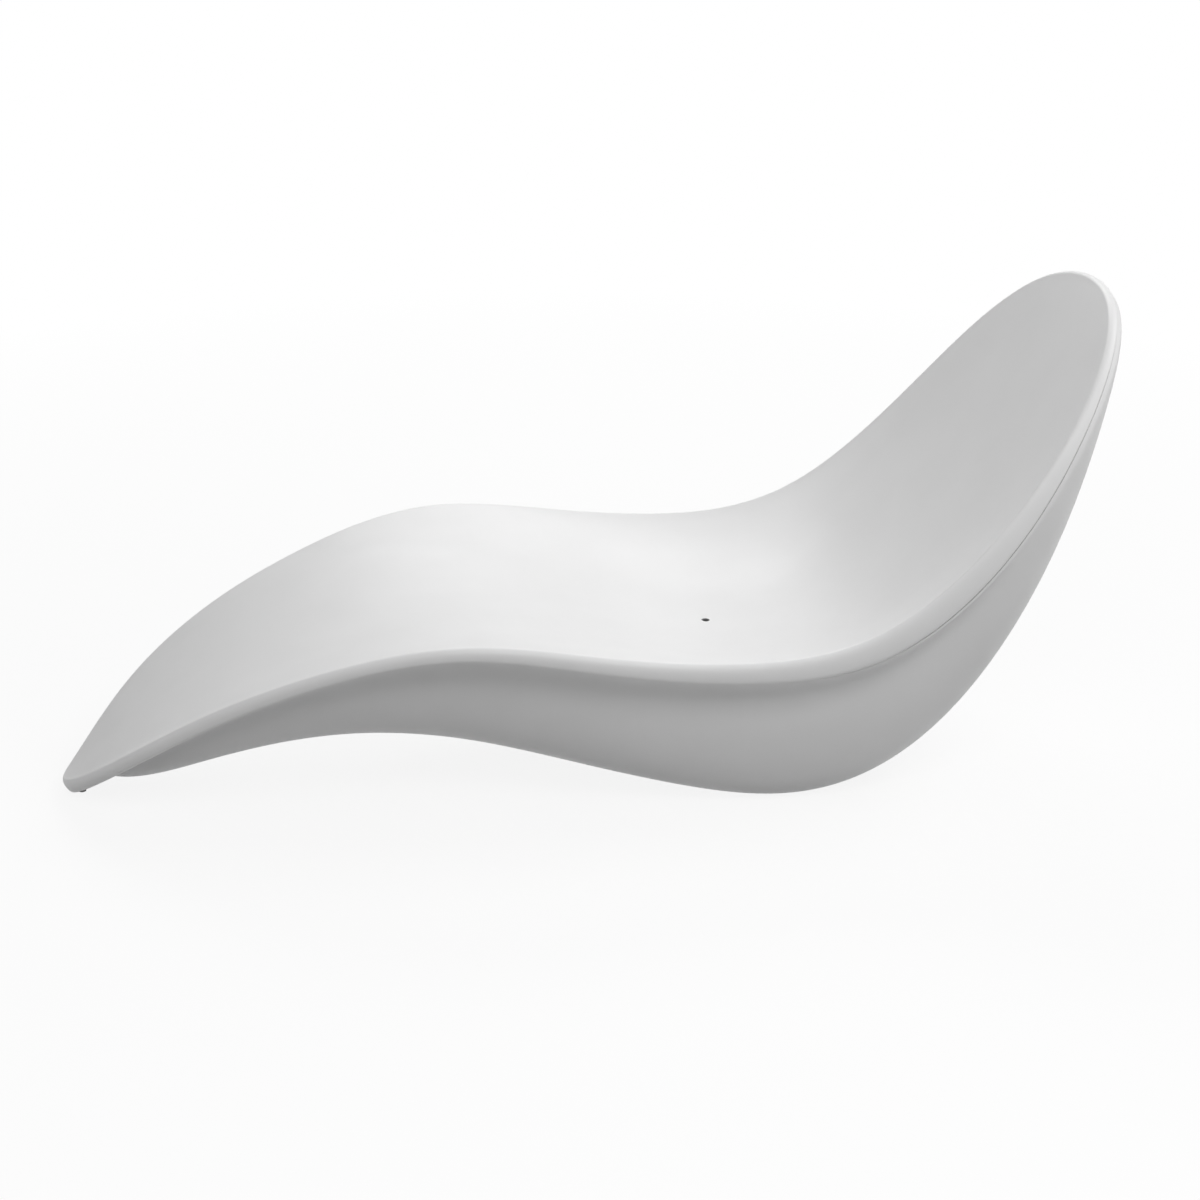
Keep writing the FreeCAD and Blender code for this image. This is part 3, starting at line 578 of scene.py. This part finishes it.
def joined(name, meshes):
    """One mesh of several, each kept apart."""
    points, faces = [], []
    for mesh in meshes:
        start = len(points)
        points += [vertex.co.copy() for vertex in mesh.vertices]
        faces += [[start + corner for corner in face.vertices] for face in mesh.polygons]
        bpy.data.meshes.remove(mesh)
    whole = bpy.data.meshes.new(name)
    whole.from_pydata(points, [], faces)
    return whole


# Nodes and finishes

def add_node(tree, kind, *in_order, settings=(), **by_name):
    """Adds a node with its own settings, and sets or links its inputs in order or by name."""
    node = tree.nodes.new(kind)
    for name, value in dict(settings).items():
        setattr(node, name, value)
    inputs = list(zip(node.inputs, in_order))
    inputs += [(node.inputs[label.replace("_", " ")], value) for label, value in by_name.items()]
    for socket, value in inputs:
        if isinstance(value, bpy.types.NodeSocket):
            tree.links.new(value, socket)
        else:
            socket.default_value = value
    return node


def math_result(tree, operation, first, second):
    node = add_node(tree, "ShaderNodeMath", first, second, settings={"operation": operation})
    return node.outputs["Value"]


class Finish:
    """A material being made: its shader, its Object coordinates and the nodes between them."""

    def __init__(self, name, **shader_values):
        self.material = bpy.data.materials.new(name)
        self.material.use_nodes = True
        self.tree = self.material.node_tree
        self.shader = self.tree.nodes["Principled BSDF"]
        self.place = add_node(self.tree, "ShaderNodeTexCoord").outputs["Object"]
        for label, value in shader_values.items():
            self.shader.inputs[label.replace("_", " ")].default_value = value

    def drive(self, label, value):
        """Links an input of the shader, and returns what was linked to it before, if anything."""
        socket = self.shader.inputs[label]
        before = socket.links[0].from_socket if socket.links else None
        self.tree.links.new(value, socket)
        return before

    def stretched(self, scale):
        """Object coordinates scaled differently along each axis."""
        return add_node(self.tree, "ShaderNodeMapping", Scale=scale, Vector=self.place).outputs["Vector"]

    def noise(self, scale, detail=2.0, roughness=0.5, place=None):
        node = add_node(self.tree, "ShaderNodeTexNoise", Scale=scale, Detail=detail, Roughness=roughness,
                        Vector=place or self.place)
        return node.outputs["Fac"]

    def spread(self, value, low, high, start=0.0, end=1.0):
        """The value between start and end, spread between low and high."""
        node = add_node(self.tree, "ShaderNodeMapRange", Value=value, From_Min=start, From_Max=end,
                        To_Min=low, To_Max=high)
        return node.outputs["Result"]

    def blend(self, first, first_share, second):
        """Two values in shares that make a whole."""
        return math_result(self.tree, "ADD", math_result(self.tree, "MULTIPLY", first, first_share),
                           math_result(self.tree, "MULTIPLY", second, 1 - first_share))

    def vector(self, operation, *values):
        node = add_node(self.tree, "ShaderNodeVectorMath", *values, settings={"operation": operation})
        return node.outputs["Value" if operation == "LENGTH" else "Vector"]

    def tint(self, value, dark, light):
        """Base colour between two tints, plain or linked, by a value from 0 to 1."""
        node = add_node(self.tree, "ShaderNodeMix", settings={"data_type": "RGBA"}, Factor=value,
                        A=dark, B=light)
        self.drive("Base Color", node.outputs["Result"])

    def mottle(self, value, colour, dark, light, start, end):
        """Base colour from a darker to a lighter share of a colour, as a value runs from start to end."""
        self.tint(self.spread(value, 0, 1, start, end), (*shade(colour, dark), 1), (*shade(colour, light), 1))

    def painted_bore_shade(self, middle, radius):
        """Darkens the base colour within a radius of an upright line: painted shade inside a hole."""
        away = self.vector("MULTIPLY", self.vector("SUBTRACT", self.place, middle), (1, 1, 0))
        outside = self.spread(self.vector("LENGTH", away), 0, 1, radius, radius + PAINTED_BORE_FADE)
        white = self.shader.inputs["Base Color"].links[0].from_socket
        self.tint(outside, (PAINTED_BORE_SHADE, PAINTED_BORE_SHADE, PAINTED_BORE_SHADE, 1), white)

    def rough(self, value, low, high, start=0.0, end=1.0):
        """Roughness from low to high, as a value runs from start to end."""
        self.drive("Roughness", self.spread(value, low, high, start, end))

    def relief(self, value, height):
        """Adds a layer of relief, its height in metres, over the layer before it."""
        layer = add_node(self.tree, "ShaderNodeBump", Strength=1, Distance=height, Height=value)
        below = self.drive("Normal", layer.outputs["Normal"])
        if below:
            self.tree.links.new(below, layer.inputs["Normal"])


def shade(colour, factor):
    return tuple(min(channel * factor, 1) for channel in colour)


def gelcoat(name, colour, bore=None):
    """Satin gelcoat: faint cloudiness, an orange-peel skin and the slight wave of a mould."""
    finish = Finish(name, IOR=1.5, Specular_IOR_Level=0.35, Coat_Weight=0.05, Coat_Roughness=0.22)
    clouds = finish.noise(scale=5, detail=3)
    flecks = finish.noise(scale=420, detail=1)
    finish.mottle(finish.blend(clouds, 0.8, flecks), colour, dark=0.985, light=1.012, start=0.35, end=0.65)
    smears = finish.noise(scale=14, detail=4, roughness=0.6, place=finish.stretched((0.6, 1.0, 1.6)))
    finish.rough(smears, low=0.40, high=0.50, start=0.3, end=0.7)
    finish.relief(finish.noise(scale=9, detail=1), height=0.0012)
    finish.relief(finish.noise(scale=260, roughness=0.45), height=0.00006)
    # The drain mouth is darkened: painted shade inside the hole
    if bore:
        finish.painted_bore_shade(*bore)
    return finish.material


def rubber(name, colour, grain=900):
    """Matt rubber with a grey bloom and a fine grain."""
    finish = Finish(name, IOR=1.52, Specular_IOR_Level=0.35)
    bloom = finish.noise(scale=60, detail=4, roughness=0.6)
    finish.mottle(bloom, colour, dark=0.8, light=1.5, start=0.3, end=0.75)
    finish.rough(bloom, low=0.62, high=0.85)
    finish.relief(finish.noise(scale=grain), height=0.00008)
    return finish.material


def plywood(name, colour, axis):
    """Birch plywood whose thin layers are stacked along one axis."""
    finish = Finish(name, IOR=1.45)
    layers = add_node(finish.tree, "ShaderNodeTexWave", Vector=finish.place,
                      Scale=120, Distortion=0.6, Detail=2,
                      settings={"wave_type": "BANDS", "bands_direction": axis, "wave_profile": "SIN"})
    lengthways = finish.stretched({"X": (6, 60, 4), "Y": (4, 6, 60), "Z": (4, 60, 6)}[axis])
    grain = finish.noise(scale=3, detail=6, roughness=0.65, place=lengthways)
    pores = finish.noise(scale=40, detail=3, roughness=0.7, place=lengthways)
    figure = finish.blend(grain, 0.6, layers.outputs["Fac"])
    finish.mottle(figure, colour, dark=0.72, light=1.12, start=0.25, end=0.75)
    finish.rough(pores, low=0.5, high=0.72)
    finish.relief(pores, height=0.0003)
    return finish.material


def metal(name, colour, line_stretch):
    """Bright metal with fine turning lines and a little dulling."""
    finish = Finish(name, Metallic=1.0)
    lines = finish.noise(scale=700, place=finish.stretched(line_stretch))
    dulling = finish.noise(scale=45, detail=4, roughness=0.6)
    finish.mottle(dulling, colour, dark=0.86, light=1.08, start=0.3, end=0.7)
    finish.rough(math_result(finish.tree, "MULTIPLY", lines, dulling), low=0.24, high=0.5, start=0.1, end=0.5)
    finish.relief(lines, height=0.00003)
    return finish.material


def moulded_plastic(name, colour):
    """Plain plastic with faint flow marks."""
    finish = Finish(name, IOR=1.49)
    flow = finish.noise(scale=30, detail=3)
    finish.mottle(flow, colour, dark=0.95, light=1.03, start=0.3, end=0.7)
    finish.rough(flow, low=0.34, high=0.48)
    finish.relief(finish.noise(scale=1100, detail=1), height=0.00004)
    return finish.material


# Geometry node trees

def new_tree(name, inputs):
    """An empty geometry tree whose inputs are a geometry, the named ones and a material."""
    tree = bpy.data.node_groups.new(name, "GeometryNodeTree")
    for label, kind in (("Geometry", "Geometry"), *inputs, ("Material", "Material")):
        tree.interface.new_socket(label, in_out="INPUT", socket_type="NodeSocket" + kind)
    tree.interface.new_socket("Geometry", in_out="OUTPUT", socket_type="NodeSocketGeometry")
    return tree, tree.nodes.new("NodeGroupInput").outputs


def finish_tree(tree, source, given):
    """Ends a tree in Realize Instances and Set Material."""
    realize = add_node(tree, "GeometryNodeRealizeInstances", Geometry=source)
    paint = add_node(tree, "GeometryNodeSetMaterial", Geometry=realize.outputs["Geometry"],
                     Material=given["Material"])
    add_node(tree, "NodeGroupOutput", Geometry=paint.outputs["Geometry"])
    return tree


def follow(piece, tree, values):
    """Puts a tree on a piece with its inputs set, and works it into a plain mesh."""
    modifier = piece.modifiers.new(tree.name, "NODES")
    modifier.node_group = tree
    for item in tree.interface.items_tree:
        if item.in_out == "INPUT" and item.name in values:
            modifier[item.identifier] = values[item.name]
    return baked(piece)


def bead_tree():
    """A round bead of sealant along a closed curve."""
    tree, given = new_tree("Sealant bead", (("Radius", "Float"), ("Sides", "Int")))
    section = add_node(tree, "GeometryNodeCurvePrimitiveCircle", Radius=given["Radius"],
                       Resolution=given["Sides"])
    sweep = add_node(tree, "GeometryNodeCurveToMesh", Curve=given["Geometry"],
                     Profile_Curve=section.outputs["Curve"])
    return finish_tree(tree, sweep.outputs["Mesh"], given)


def screw_tree():
    """Cap screws with a hexagon socket below, one on each point of a mesh."""
    tree, given = new_tree("Pad screws", [(label, "Float") for label in (
        "Head Radius", "Head Height", "Shank Radius", "Shank Length", "Socket Radius", "Socket Depth")])

    def rod(radius, depth, sides, low):
        """An upright rod that starts at a height."""
        rod_mesh = add_node(tree, "GeometryNodeMeshCylinder", Vertices=sides, Radius=radius, Depth=depth)
        middle = math_result(tree, "ADD", math_result(tree, "MULTIPLY", depth, 0.5), low)
        move = add_node(tree, "GeometryNodeTransform", Geometry=rod_mesh.outputs["Mesh"],
                        Translation=add_node(tree, "ShaderNodeCombineXYZ", Z=middle).outputs["Vector"])
        return move.outputs["Geometry"]

    head = rod(given["Head Radius"], given["Head Height"], HEAD_SIDES, 0.0)
    shank = rod(given["Shank Radius"], given["Shank Length"], SHANK_SIDES,
                math_result(tree, "SUBTRACT", given["Head Height"], SCREW_OVERLAP))
    socket = rod(given["Socket Radius"], math_result(tree, "ADD", given["Socket Depth"], SCREW_OVERLAP),
                 SOCKET_SIDES, -SCREW_OVERLAP)
    whole = add_node(tree, "GeometryNodeMeshBoolean", settings={"operation": "UNION"}, Mesh_2=head)
    tree.links.new(shank, whole.inputs["Mesh 2"])
    hollow = add_node(tree, "GeometryNodeMeshBoolean", settings={"operation": "DIFFERENCE"},
                      Mesh_1=whole.outputs["Mesh"], Mesh_2=socket)
    copies = add_node(tree, "GeometryNodeInstanceOnPoints", Points=given["Geometry"],
                      Instance=hollow.outputs["Mesh"])
    return finish_tree(tree, copies.outputs["Instances"], given)


# Operators

class LOUNGER_OT_seat_shell(bpy.types.Operator):
    """Makes the dished seat with its rolled rim, its underside and the drain hole"""
    bl_idname = "lounger.seat_shell"
    bl_label = "Seat shell"

    def execute(self, context):
        sizes = context.scene.lounger_sizes
        shape = LoungerShape(sizes)
        rings = [shape.seat_ring(share, 0) for share in SEAT_RING_SHARES]
        rings += [shape.rim_ring(sizes.lip_bulge * out, shape.lip_drop() * drop)
                  for out, drop in lip_section()]
        face = Skin(rings)
        mouth_radius = sizes.drain_radius + sizes.drain_edge
        edge = face.place_at_radius(shape.drain, mouth_radius, 0, DRAIN_PLACES)
        rows = [face.row(edge + (face.spans - edge) * step) for step in SEAT_ROW_STEPS]
        mouth = []
        for turn in MOUTH_TURNS:
            heights = rows[0][:, 2] - sizes.drain_edge * (1 - math.cos(turn))
            radius = sizes.drain_radius + sizes.drain_edge * (1 - math.sin(turn))
            mouth.append(circle_row(rows[0], shape.drain, radius, heights))
        land = shape.joint_ring(sizes.hull_wall + sizes.rim_land, 0)
        wall = sizes.seat_wall
        below = [shape.corner_ring(wall)] + [shape.seat_ring(share, wall) for share in UNDERSIDE_RING_SHARES]
        underside = Skin(below)
        inner = underside.rows_to_boss(shape.drain, sizes.boss_radius, UNDERSIDE_ROWS)
        boss_low = shape.seat_level(shape.drain[0], 0) - wall - sizes.seat_boss_drop
        rows += [around(land)] + inner
        rows += [circle_row(inner[-1], shape.drain, sizes.boss_radius, boss_low),
                 circle_row(mouth[-1], shape.drain, sizes.drain_radius, boss_low)]
        rows += mouth[::-1]
        piece = placed("seat_shell_moulding", closed_mesh("seat_shell_moulding", rows))
        low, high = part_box("toe_glide")
        pocket = drill("glide_pocket", (low + high) / 2, (high[0] - low[0]) / 2 + sizes.glide_clearance,
                       -sizes.pad_height, high[2] + sizes.glide_clearance)
        piece = bored(piece, [pocket])
        # The seat's gelcoat darkens the drain mouth and its rounded edge: painted shade
        coated(piece, gelcoat("seat_gelcoat_white", context.scene.lounger_colours.seat_white,
                              (shape.drain, mouth_radius)))
        hand_over(piece, "seat_gelcoat", "seat_shell")
        return {"FINISHED"}


class LOUNGER_OT_hull_shell(bpy.types.Operator):
    """Makes the hull: sides, back and floor, the outlet boss and the holes for the pads"""
    bl_idname = "lounger.hull_shell"
    bl_label = "Hull shell"

    def execute(self, context):
        sizes = context.scene.lounger_sizes
        shape = LoungerShape(sizes)
        outer, inner = (Skin(shape.hull_rings(depth)).rows_to_boss(shape.drain, sizes.boss_radius, count)
                        for depth, count in ((0, HULL_OUTER_ROWS), (sizes.hull_wall, HULL_INNER_ROWS)))
        low = sizes.hull_boss_lift
        high = low + sizes.hull_boss_height
        boss = [circle_row(outer[-1], shape.drain, radius, height) for radius, height in (
            (sizes.boss_radius, low), (sizes.outlet_bore, low), (sizes.outlet_bore, high),
            (sizes.boss_radius, high))]
        piece = placed("hull_moulding", closed_mesh("hull_moulding", outer + boss + inner[::-1]))
        radius = node_radius("base_pads")
        holes = [drill("pad_hole", middle, radius + sizes.pad_clearance, -sizes.pad_height,
                       sizes.pad_height + sizes.pad_clearance) for middle in node_middles("base_pads")]
        piece = bored(piece, holes)
        coated(piece, gelcoat("hull_gelcoat_white", context.scene.lounger_colours.hull_white))
        hand_over(piece, "hull_gelcoat", "hull_shell")
        return {"FINISHED"}


class LOUNGER_OT_joint_bead(bpy.types.Operator):
    """Runs the bead of sealant round the joint between the rim and the hull"""
    bl_idname = "lounger.joint_bead"
    bl_label = "Joint bead"

    def execute(self, context):
        sizes = context.scene.lounger_sizes
        shape = LoungerShape(sizes)
        line = around(shape.joint_ring(sizes.bead_recess + sizes.bead_radius, sizes.joint_gap / 2))
        curve = bpy.data.curves.new("joint_line", "CURVE")
        curve.dimensions = "3D"
        spline = curve.splines.new("POLY")
        spline.points.add(len(line) - 1)
        for point, place in zip(spline.points, line):
            point.co = (*place, 1)
        spline.use_cyclic_u = True
        piece = bpy.data.objects.new("joint_bead_run", curve)
        context.scene.collection.objects.link(piece)
        # Painted shade: the sealant's grey is darkened for the shadow in the joint
        grey_with_painted_shade = shade(context.scene.lounger_colours.joint_grey, JOINT_PAINTED_SHADE)
        finish = rubber("joint_sealant_grey", grey_with_painted_shade, grain=1500)
        piece = follow(piece, bead_tree(), {"Radius": sizes.bead_radius, "Sides": BEAD_SIDES,
                                            "Material": finish})
        smoothed(piece, BEAD_SHARP)
        hand_over(piece, "bead_sealant", "joint_bead")
        return {"FINISHED"}


class LOUNGER_OT_base_pads(bpy.types.Operator):
    """Makes the rubber pads with grip grooves and their socket screws, and dresses the toe glide"""
    bl_idname = "lounger.base_pads"
    bl_label = "Base pads"

    def execute(self, context):
        sizes = context.scene.lounger_sizes
        colours = context.scene.lounger_colours
        black = rubber("pad_rubber_black", colours.pad_black)
        middles = node_middles("base_pads")
        radius = node_radius("base_pads")
        head = node_radius("pad_screws")
        low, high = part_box("pad_screws")
        bore = head + SCREW_PLAY
        screw_bore = sizes.screw_radius + SCREW_PLAY
        seat = low[2] + sizes.screw_head_height
        face = radius - PAD_INSET
        profile = [(bore, 0.0)]
        for groove in np.linspace(bore + GROOVE_FROM_BORE, radius - PAD_ROUND - GROOVE_FROM_ROUND, GROOVES):
            profile += [(groove - GROOVE_HALF_MOUTH, 0.0), (groove - GROOVE_HALF_FLOOR, sizes.groove_depth),
                        (groove + GROOVE_HALF_FLOOR, sizes.groove_depth), (groove + GROOVE_HALF_MOUTH, 0.0)]
        profile += [(radius - PAD_ROUND, 0.0), (radius - PAD_ROUND_MIDDLE, PAD_ROUND_MIDDLE),
                    (face, PAD_ROUND), (face, sizes.pad_height - PAD_CHAMFER),
                    (face - PAD_CHAMFER, sizes.pad_height), (screw_bore, sizes.pad_height),
                    (screw_bore, seat), (bore, seat)]
        meshes = [lathed("base_pad", profile, middle, PAD_SIDES) for middle in middles]
        pads = placed("base_pad_set", joined("base_pad_set", meshes), [black])
        smoothed(pads, PAD_SHARP)
        hand_over(pads, "pad_rubber", "base_pads")

        points = bpy.data.meshes.new("screw_points")
        points.from_pydata([(middle[0], middle[1], low[2]) for middle in middles], [], [])
        screws = placed("pad_screw_set", points)
        steel = metal("screw_steel_turned", colours.screw_steel, (1, 1, 14))
        screws = follow(screws, screw_tree(), {
            "Head Radius": head, "Head Height": sizes.screw_head_height,
            "Shank Radius": sizes.screw_radius, "Shank Length": high[2] - low[2] - sizes.screw_head_height,
            "Socket Radius": sizes.socket_radius, "Socket Depth": sizes.socket_depth, "Material": steel})
        smoothed(screws, PAD_SHARP)
        hand_over(screws, "screw_steel", "pad_screws")
        dress(metal("insert_brass_turned", colours.insert_brass, (1, 1, 10)), "pad_inserts")
        dress(rubber("glide_rubber_pale", [colours.glide_pale] * 3), "toe_glide")
        return {"FINISHED"}


class LOUNGER_OT_inner_frame(bpy.types.Operator):
    """Gives the cross formers, the stringers and the base plate their plywood"""
    bl_idname = "lounger.inner_frame"
    bl_label = "Inner frame"

    def execute(self, context):
        birch = context.scene.lounger_colours.birch
        dress(plywood("birch_ply_across", birch, "X"), *FORMERS)
        dress(plywood("birch_ply_along", birch, "Y"), "stringer_left", "stringer_right")
        dress(plywood("birch_ply_flat", birch, "Z"), "base_plate")
        return {"FINISHED"}


class LOUNGER_OT_drain(bpy.types.Operator):
    """Gives the drain from the seat to the underside its plastic, rubber and steel"""
    bl_idname = "lounger.drain"
    bl_label = "Drain"

    def execute(self, context):
        colours = context.scene.lounger_colours
        dress(moulded_plastic("drain_plastic_white", colours.drain_white),
              "drain_spigot", "outlet_fitting", "outlet_nut")
        dress(rubber("gasket_rubber_black", colours.gasket_black), "drain_gasket", "outlet_gasket")
        dress(rubber("pipe_rubber_black", colours.pipe_black, grain=500), "drain_pipe")
        dress(metal("clip_steel_rolled", colours.clip_steel, (1, 1, 8)), "pipe_clips")
        return {"FINISHED"}


class LOUNGER_OT_studio(bpy.types.Operator):
    """Sets up the pale floor, the even light, the softboxes and the camera"""
    bl_idname = "lounger.studio"
    bl_label = "Studio"

    def execute(self, context):
        studio = context.scene.lounger_studio
        floor = bpy.data.meshes.new("studio_floor")
        corners = ((-1, -1), (1, -1), (1, 1), (-1, 1))
        floor.from_pydata([(FLOOR_REACH * x, FLOOR_REACH * y, 0) for x, y in corners], [], [(0, 1, 2, 3)])
        placed("studio_floor", floor, [studio_floor_finish(studio)])
        studio_world(context.scene, studio)
        for name, place, target, extent in SOFTBOXES:
            softbox(name + "_softbox", place, target, extent, getattr(studio, name))
        context.scene.camera = studio_camera()
        context.scene.view_settings.view_transform = "Standard"
        return {"FINISHED"}


def seen_directly(tree):
    """1 for the rays that the camera, gloss and glass send out, 0 for those that only carry light."""
    path = tree.nodes.new("ShaderNodeLightPath").outputs
    either = math_result(tree, "MAXIMUM", path["Is Camera Ray"], path["Is Glossy Ray"])
    return math_result(tree, "MAXIMUM", either, path["Is Transmission Ray"])


def shown_white(tree, share, shader, white_kind, output):
    """Mixes a white light over a shader by a share, and sends it to the output of its tree."""
    white = add_node(tree, white_kind, Color=(1, 1, 1, 1))
    mix = add_node(tree, "ShaderNodeMixShader", share, shader.outputs[0], white.outputs[0])
    tree.links.new(mix.outputs["Shader"], tree.nodes[output].inputs["Surface"])


def studio_floor_finish(studio):
    """A pale matt floor that the camera, gloss and glass see nearly white, with the shadow kept."""
    finish = Finish("studio_floor_pale", Roughness=0.9)
    seen = seen_directly(finish.tree)
    finish.tint(seen, (*[studio.floor_grey] * 3, 1), (*[studio.floor_seen] * 3, 1))
    distance = finish.vector("LENGTH", finish.place)
    lift = finish.spread(distance, studio.floor_lift, 1, studio.floor_near, studio.floor_far)
    shown_white(finish.tree, math_result(finish.tree, "MULTIPLY", seen, lift), finish.shader,
                "ShaderNodeEmission", "Material Output")
    return finish.material


def studio_world(scene, studio):
    """An even light from all round, which the camera, gloss and glass see as white."""
    scene.world = bpy.data.worlds.new("studio_world")
    scene.world.use_nodes = True
    tree = scene.world.node_tree
    light = tree.nodes["Background"]
    light.inputs["Color"].default_value = (1, 1, 1, 1)
    light.inputs["Strength"].default_value = studio.sky
    shown_white(tree, seen_directly(tree), light, "ShaderNodeBackground", "World Output")


def softbox(name, place, target, extent, power):
    light = bpy.data.lights.new(name, "AREA")
    light.shape = "RECTANGLE"
    light.size, light.size_y = extent
    light.energy = power
    lamp = bpy.data.objects.new(name, light)
    bpy.context.scene.collection.objects.link(lamp)
    lamp.location = place
    lamp.rotation_euler = (Vector(target) - Vector(place)).to_track_quat("-Z", "Y").to_euler()


def studio_camera():
    """A camera a little towards the foot and above, with its small roll."""
    turn, climb, roll = (math.radians(degrees) for degrees in (CAMERA_TURN, CAMERA_CLIMB, CAMERA_ROLL))
    back = Vector((math.sin(turn) * math.cos(climb), -math.cos(turn) * math.cos(climb), math.sin(climb)))
    level = Vector((math.cos(turn), math.sin(turn), 0))
    up = back.cross(level)
    right = level * math.cos(roll) + up * math.sin(roll)
    upward = up * math.cos(roll) - level * math.sin(roll)
    lens = bpy.data.cameras.new("studio_camera")
    lens.lens = LENS_LENGTH
    lens.sensor_width = SENSOR_WIDTH
    camera = bpy.data.objects.new("studio_camera", lens)
    bpy.context.scene.collection.objects.link(camera)
    turned = Matrix((right, upward, back)).transposed().to_4x4()
    camera.matrix_world = Matrix.Translation(Vector(CAMERA_TARGET) + back * CAMERA_DISTANCE) @ turned
    return camera


class LOUNGER_PT_panel(bpy.types.Panel):
    """Lists the lounger's pieces in the sidebar"""
    bl_idname = "LOUNGER_PT_panel"
    bl_label = "Lounger"
    bl_space_type = "VIEW_3D"
    bl_region_type = "UI"
    bl_category = "Lounger"

    def draw(self, context):
        for group_name in GROUPS:
            group = getattr(context.scene, group_name)
            box = self.layout.box()
            box.label(text=group_name.removeprefix("lounger_").capitalize())
            for name in group.__annotations__:
                box.prop(group, name)
        for operator in OPERATORS:
            self.layout.operator(operator.bl_idname)


OPERATORS = (LOUNGER_OT_studio, LOUNGER_OT_seat_shell, LOUNGER_OT_hull_shell, LOUNGER_OT_joint_bead,
             LOUNGER_OT_base_pads, LOUNGER_OT_inner_frame, LOUNGER_OT_drain)
GROUPS = {"lounger_sizes": LoungerSizes, "lounger_colours": LoungerColours, "lounger_studio": LoungerStudio}


def register():
    for entry in tuple(GROUPS.values()) + OPERATORS + (LOUNGER_PT_panel,):
        bpy.utils.register_class(entry)
    for name, group in GROUPS.items():
        setattr(bpy.types.Scene, name, bpy.props.PointerProperty(type=group))


def unregister():
    for name in GROUPS:
        delattr(bpy.types.Scene, name)
    for entry in (LOUNGER_PT_panel,) + OPERATORS[::-1] + tuple(GROUPS.values())[::-1]:
        bpy.utils.unregister_class(entry)


def main():
    register()
    for name in ("studio", "seat_shell", "hull_shell", "joint_bead", "base_pads", "inner_frame", "drain"):
        getattr(bpy.ops.lounger, name)()


if __name__ == "__main__":
    main()
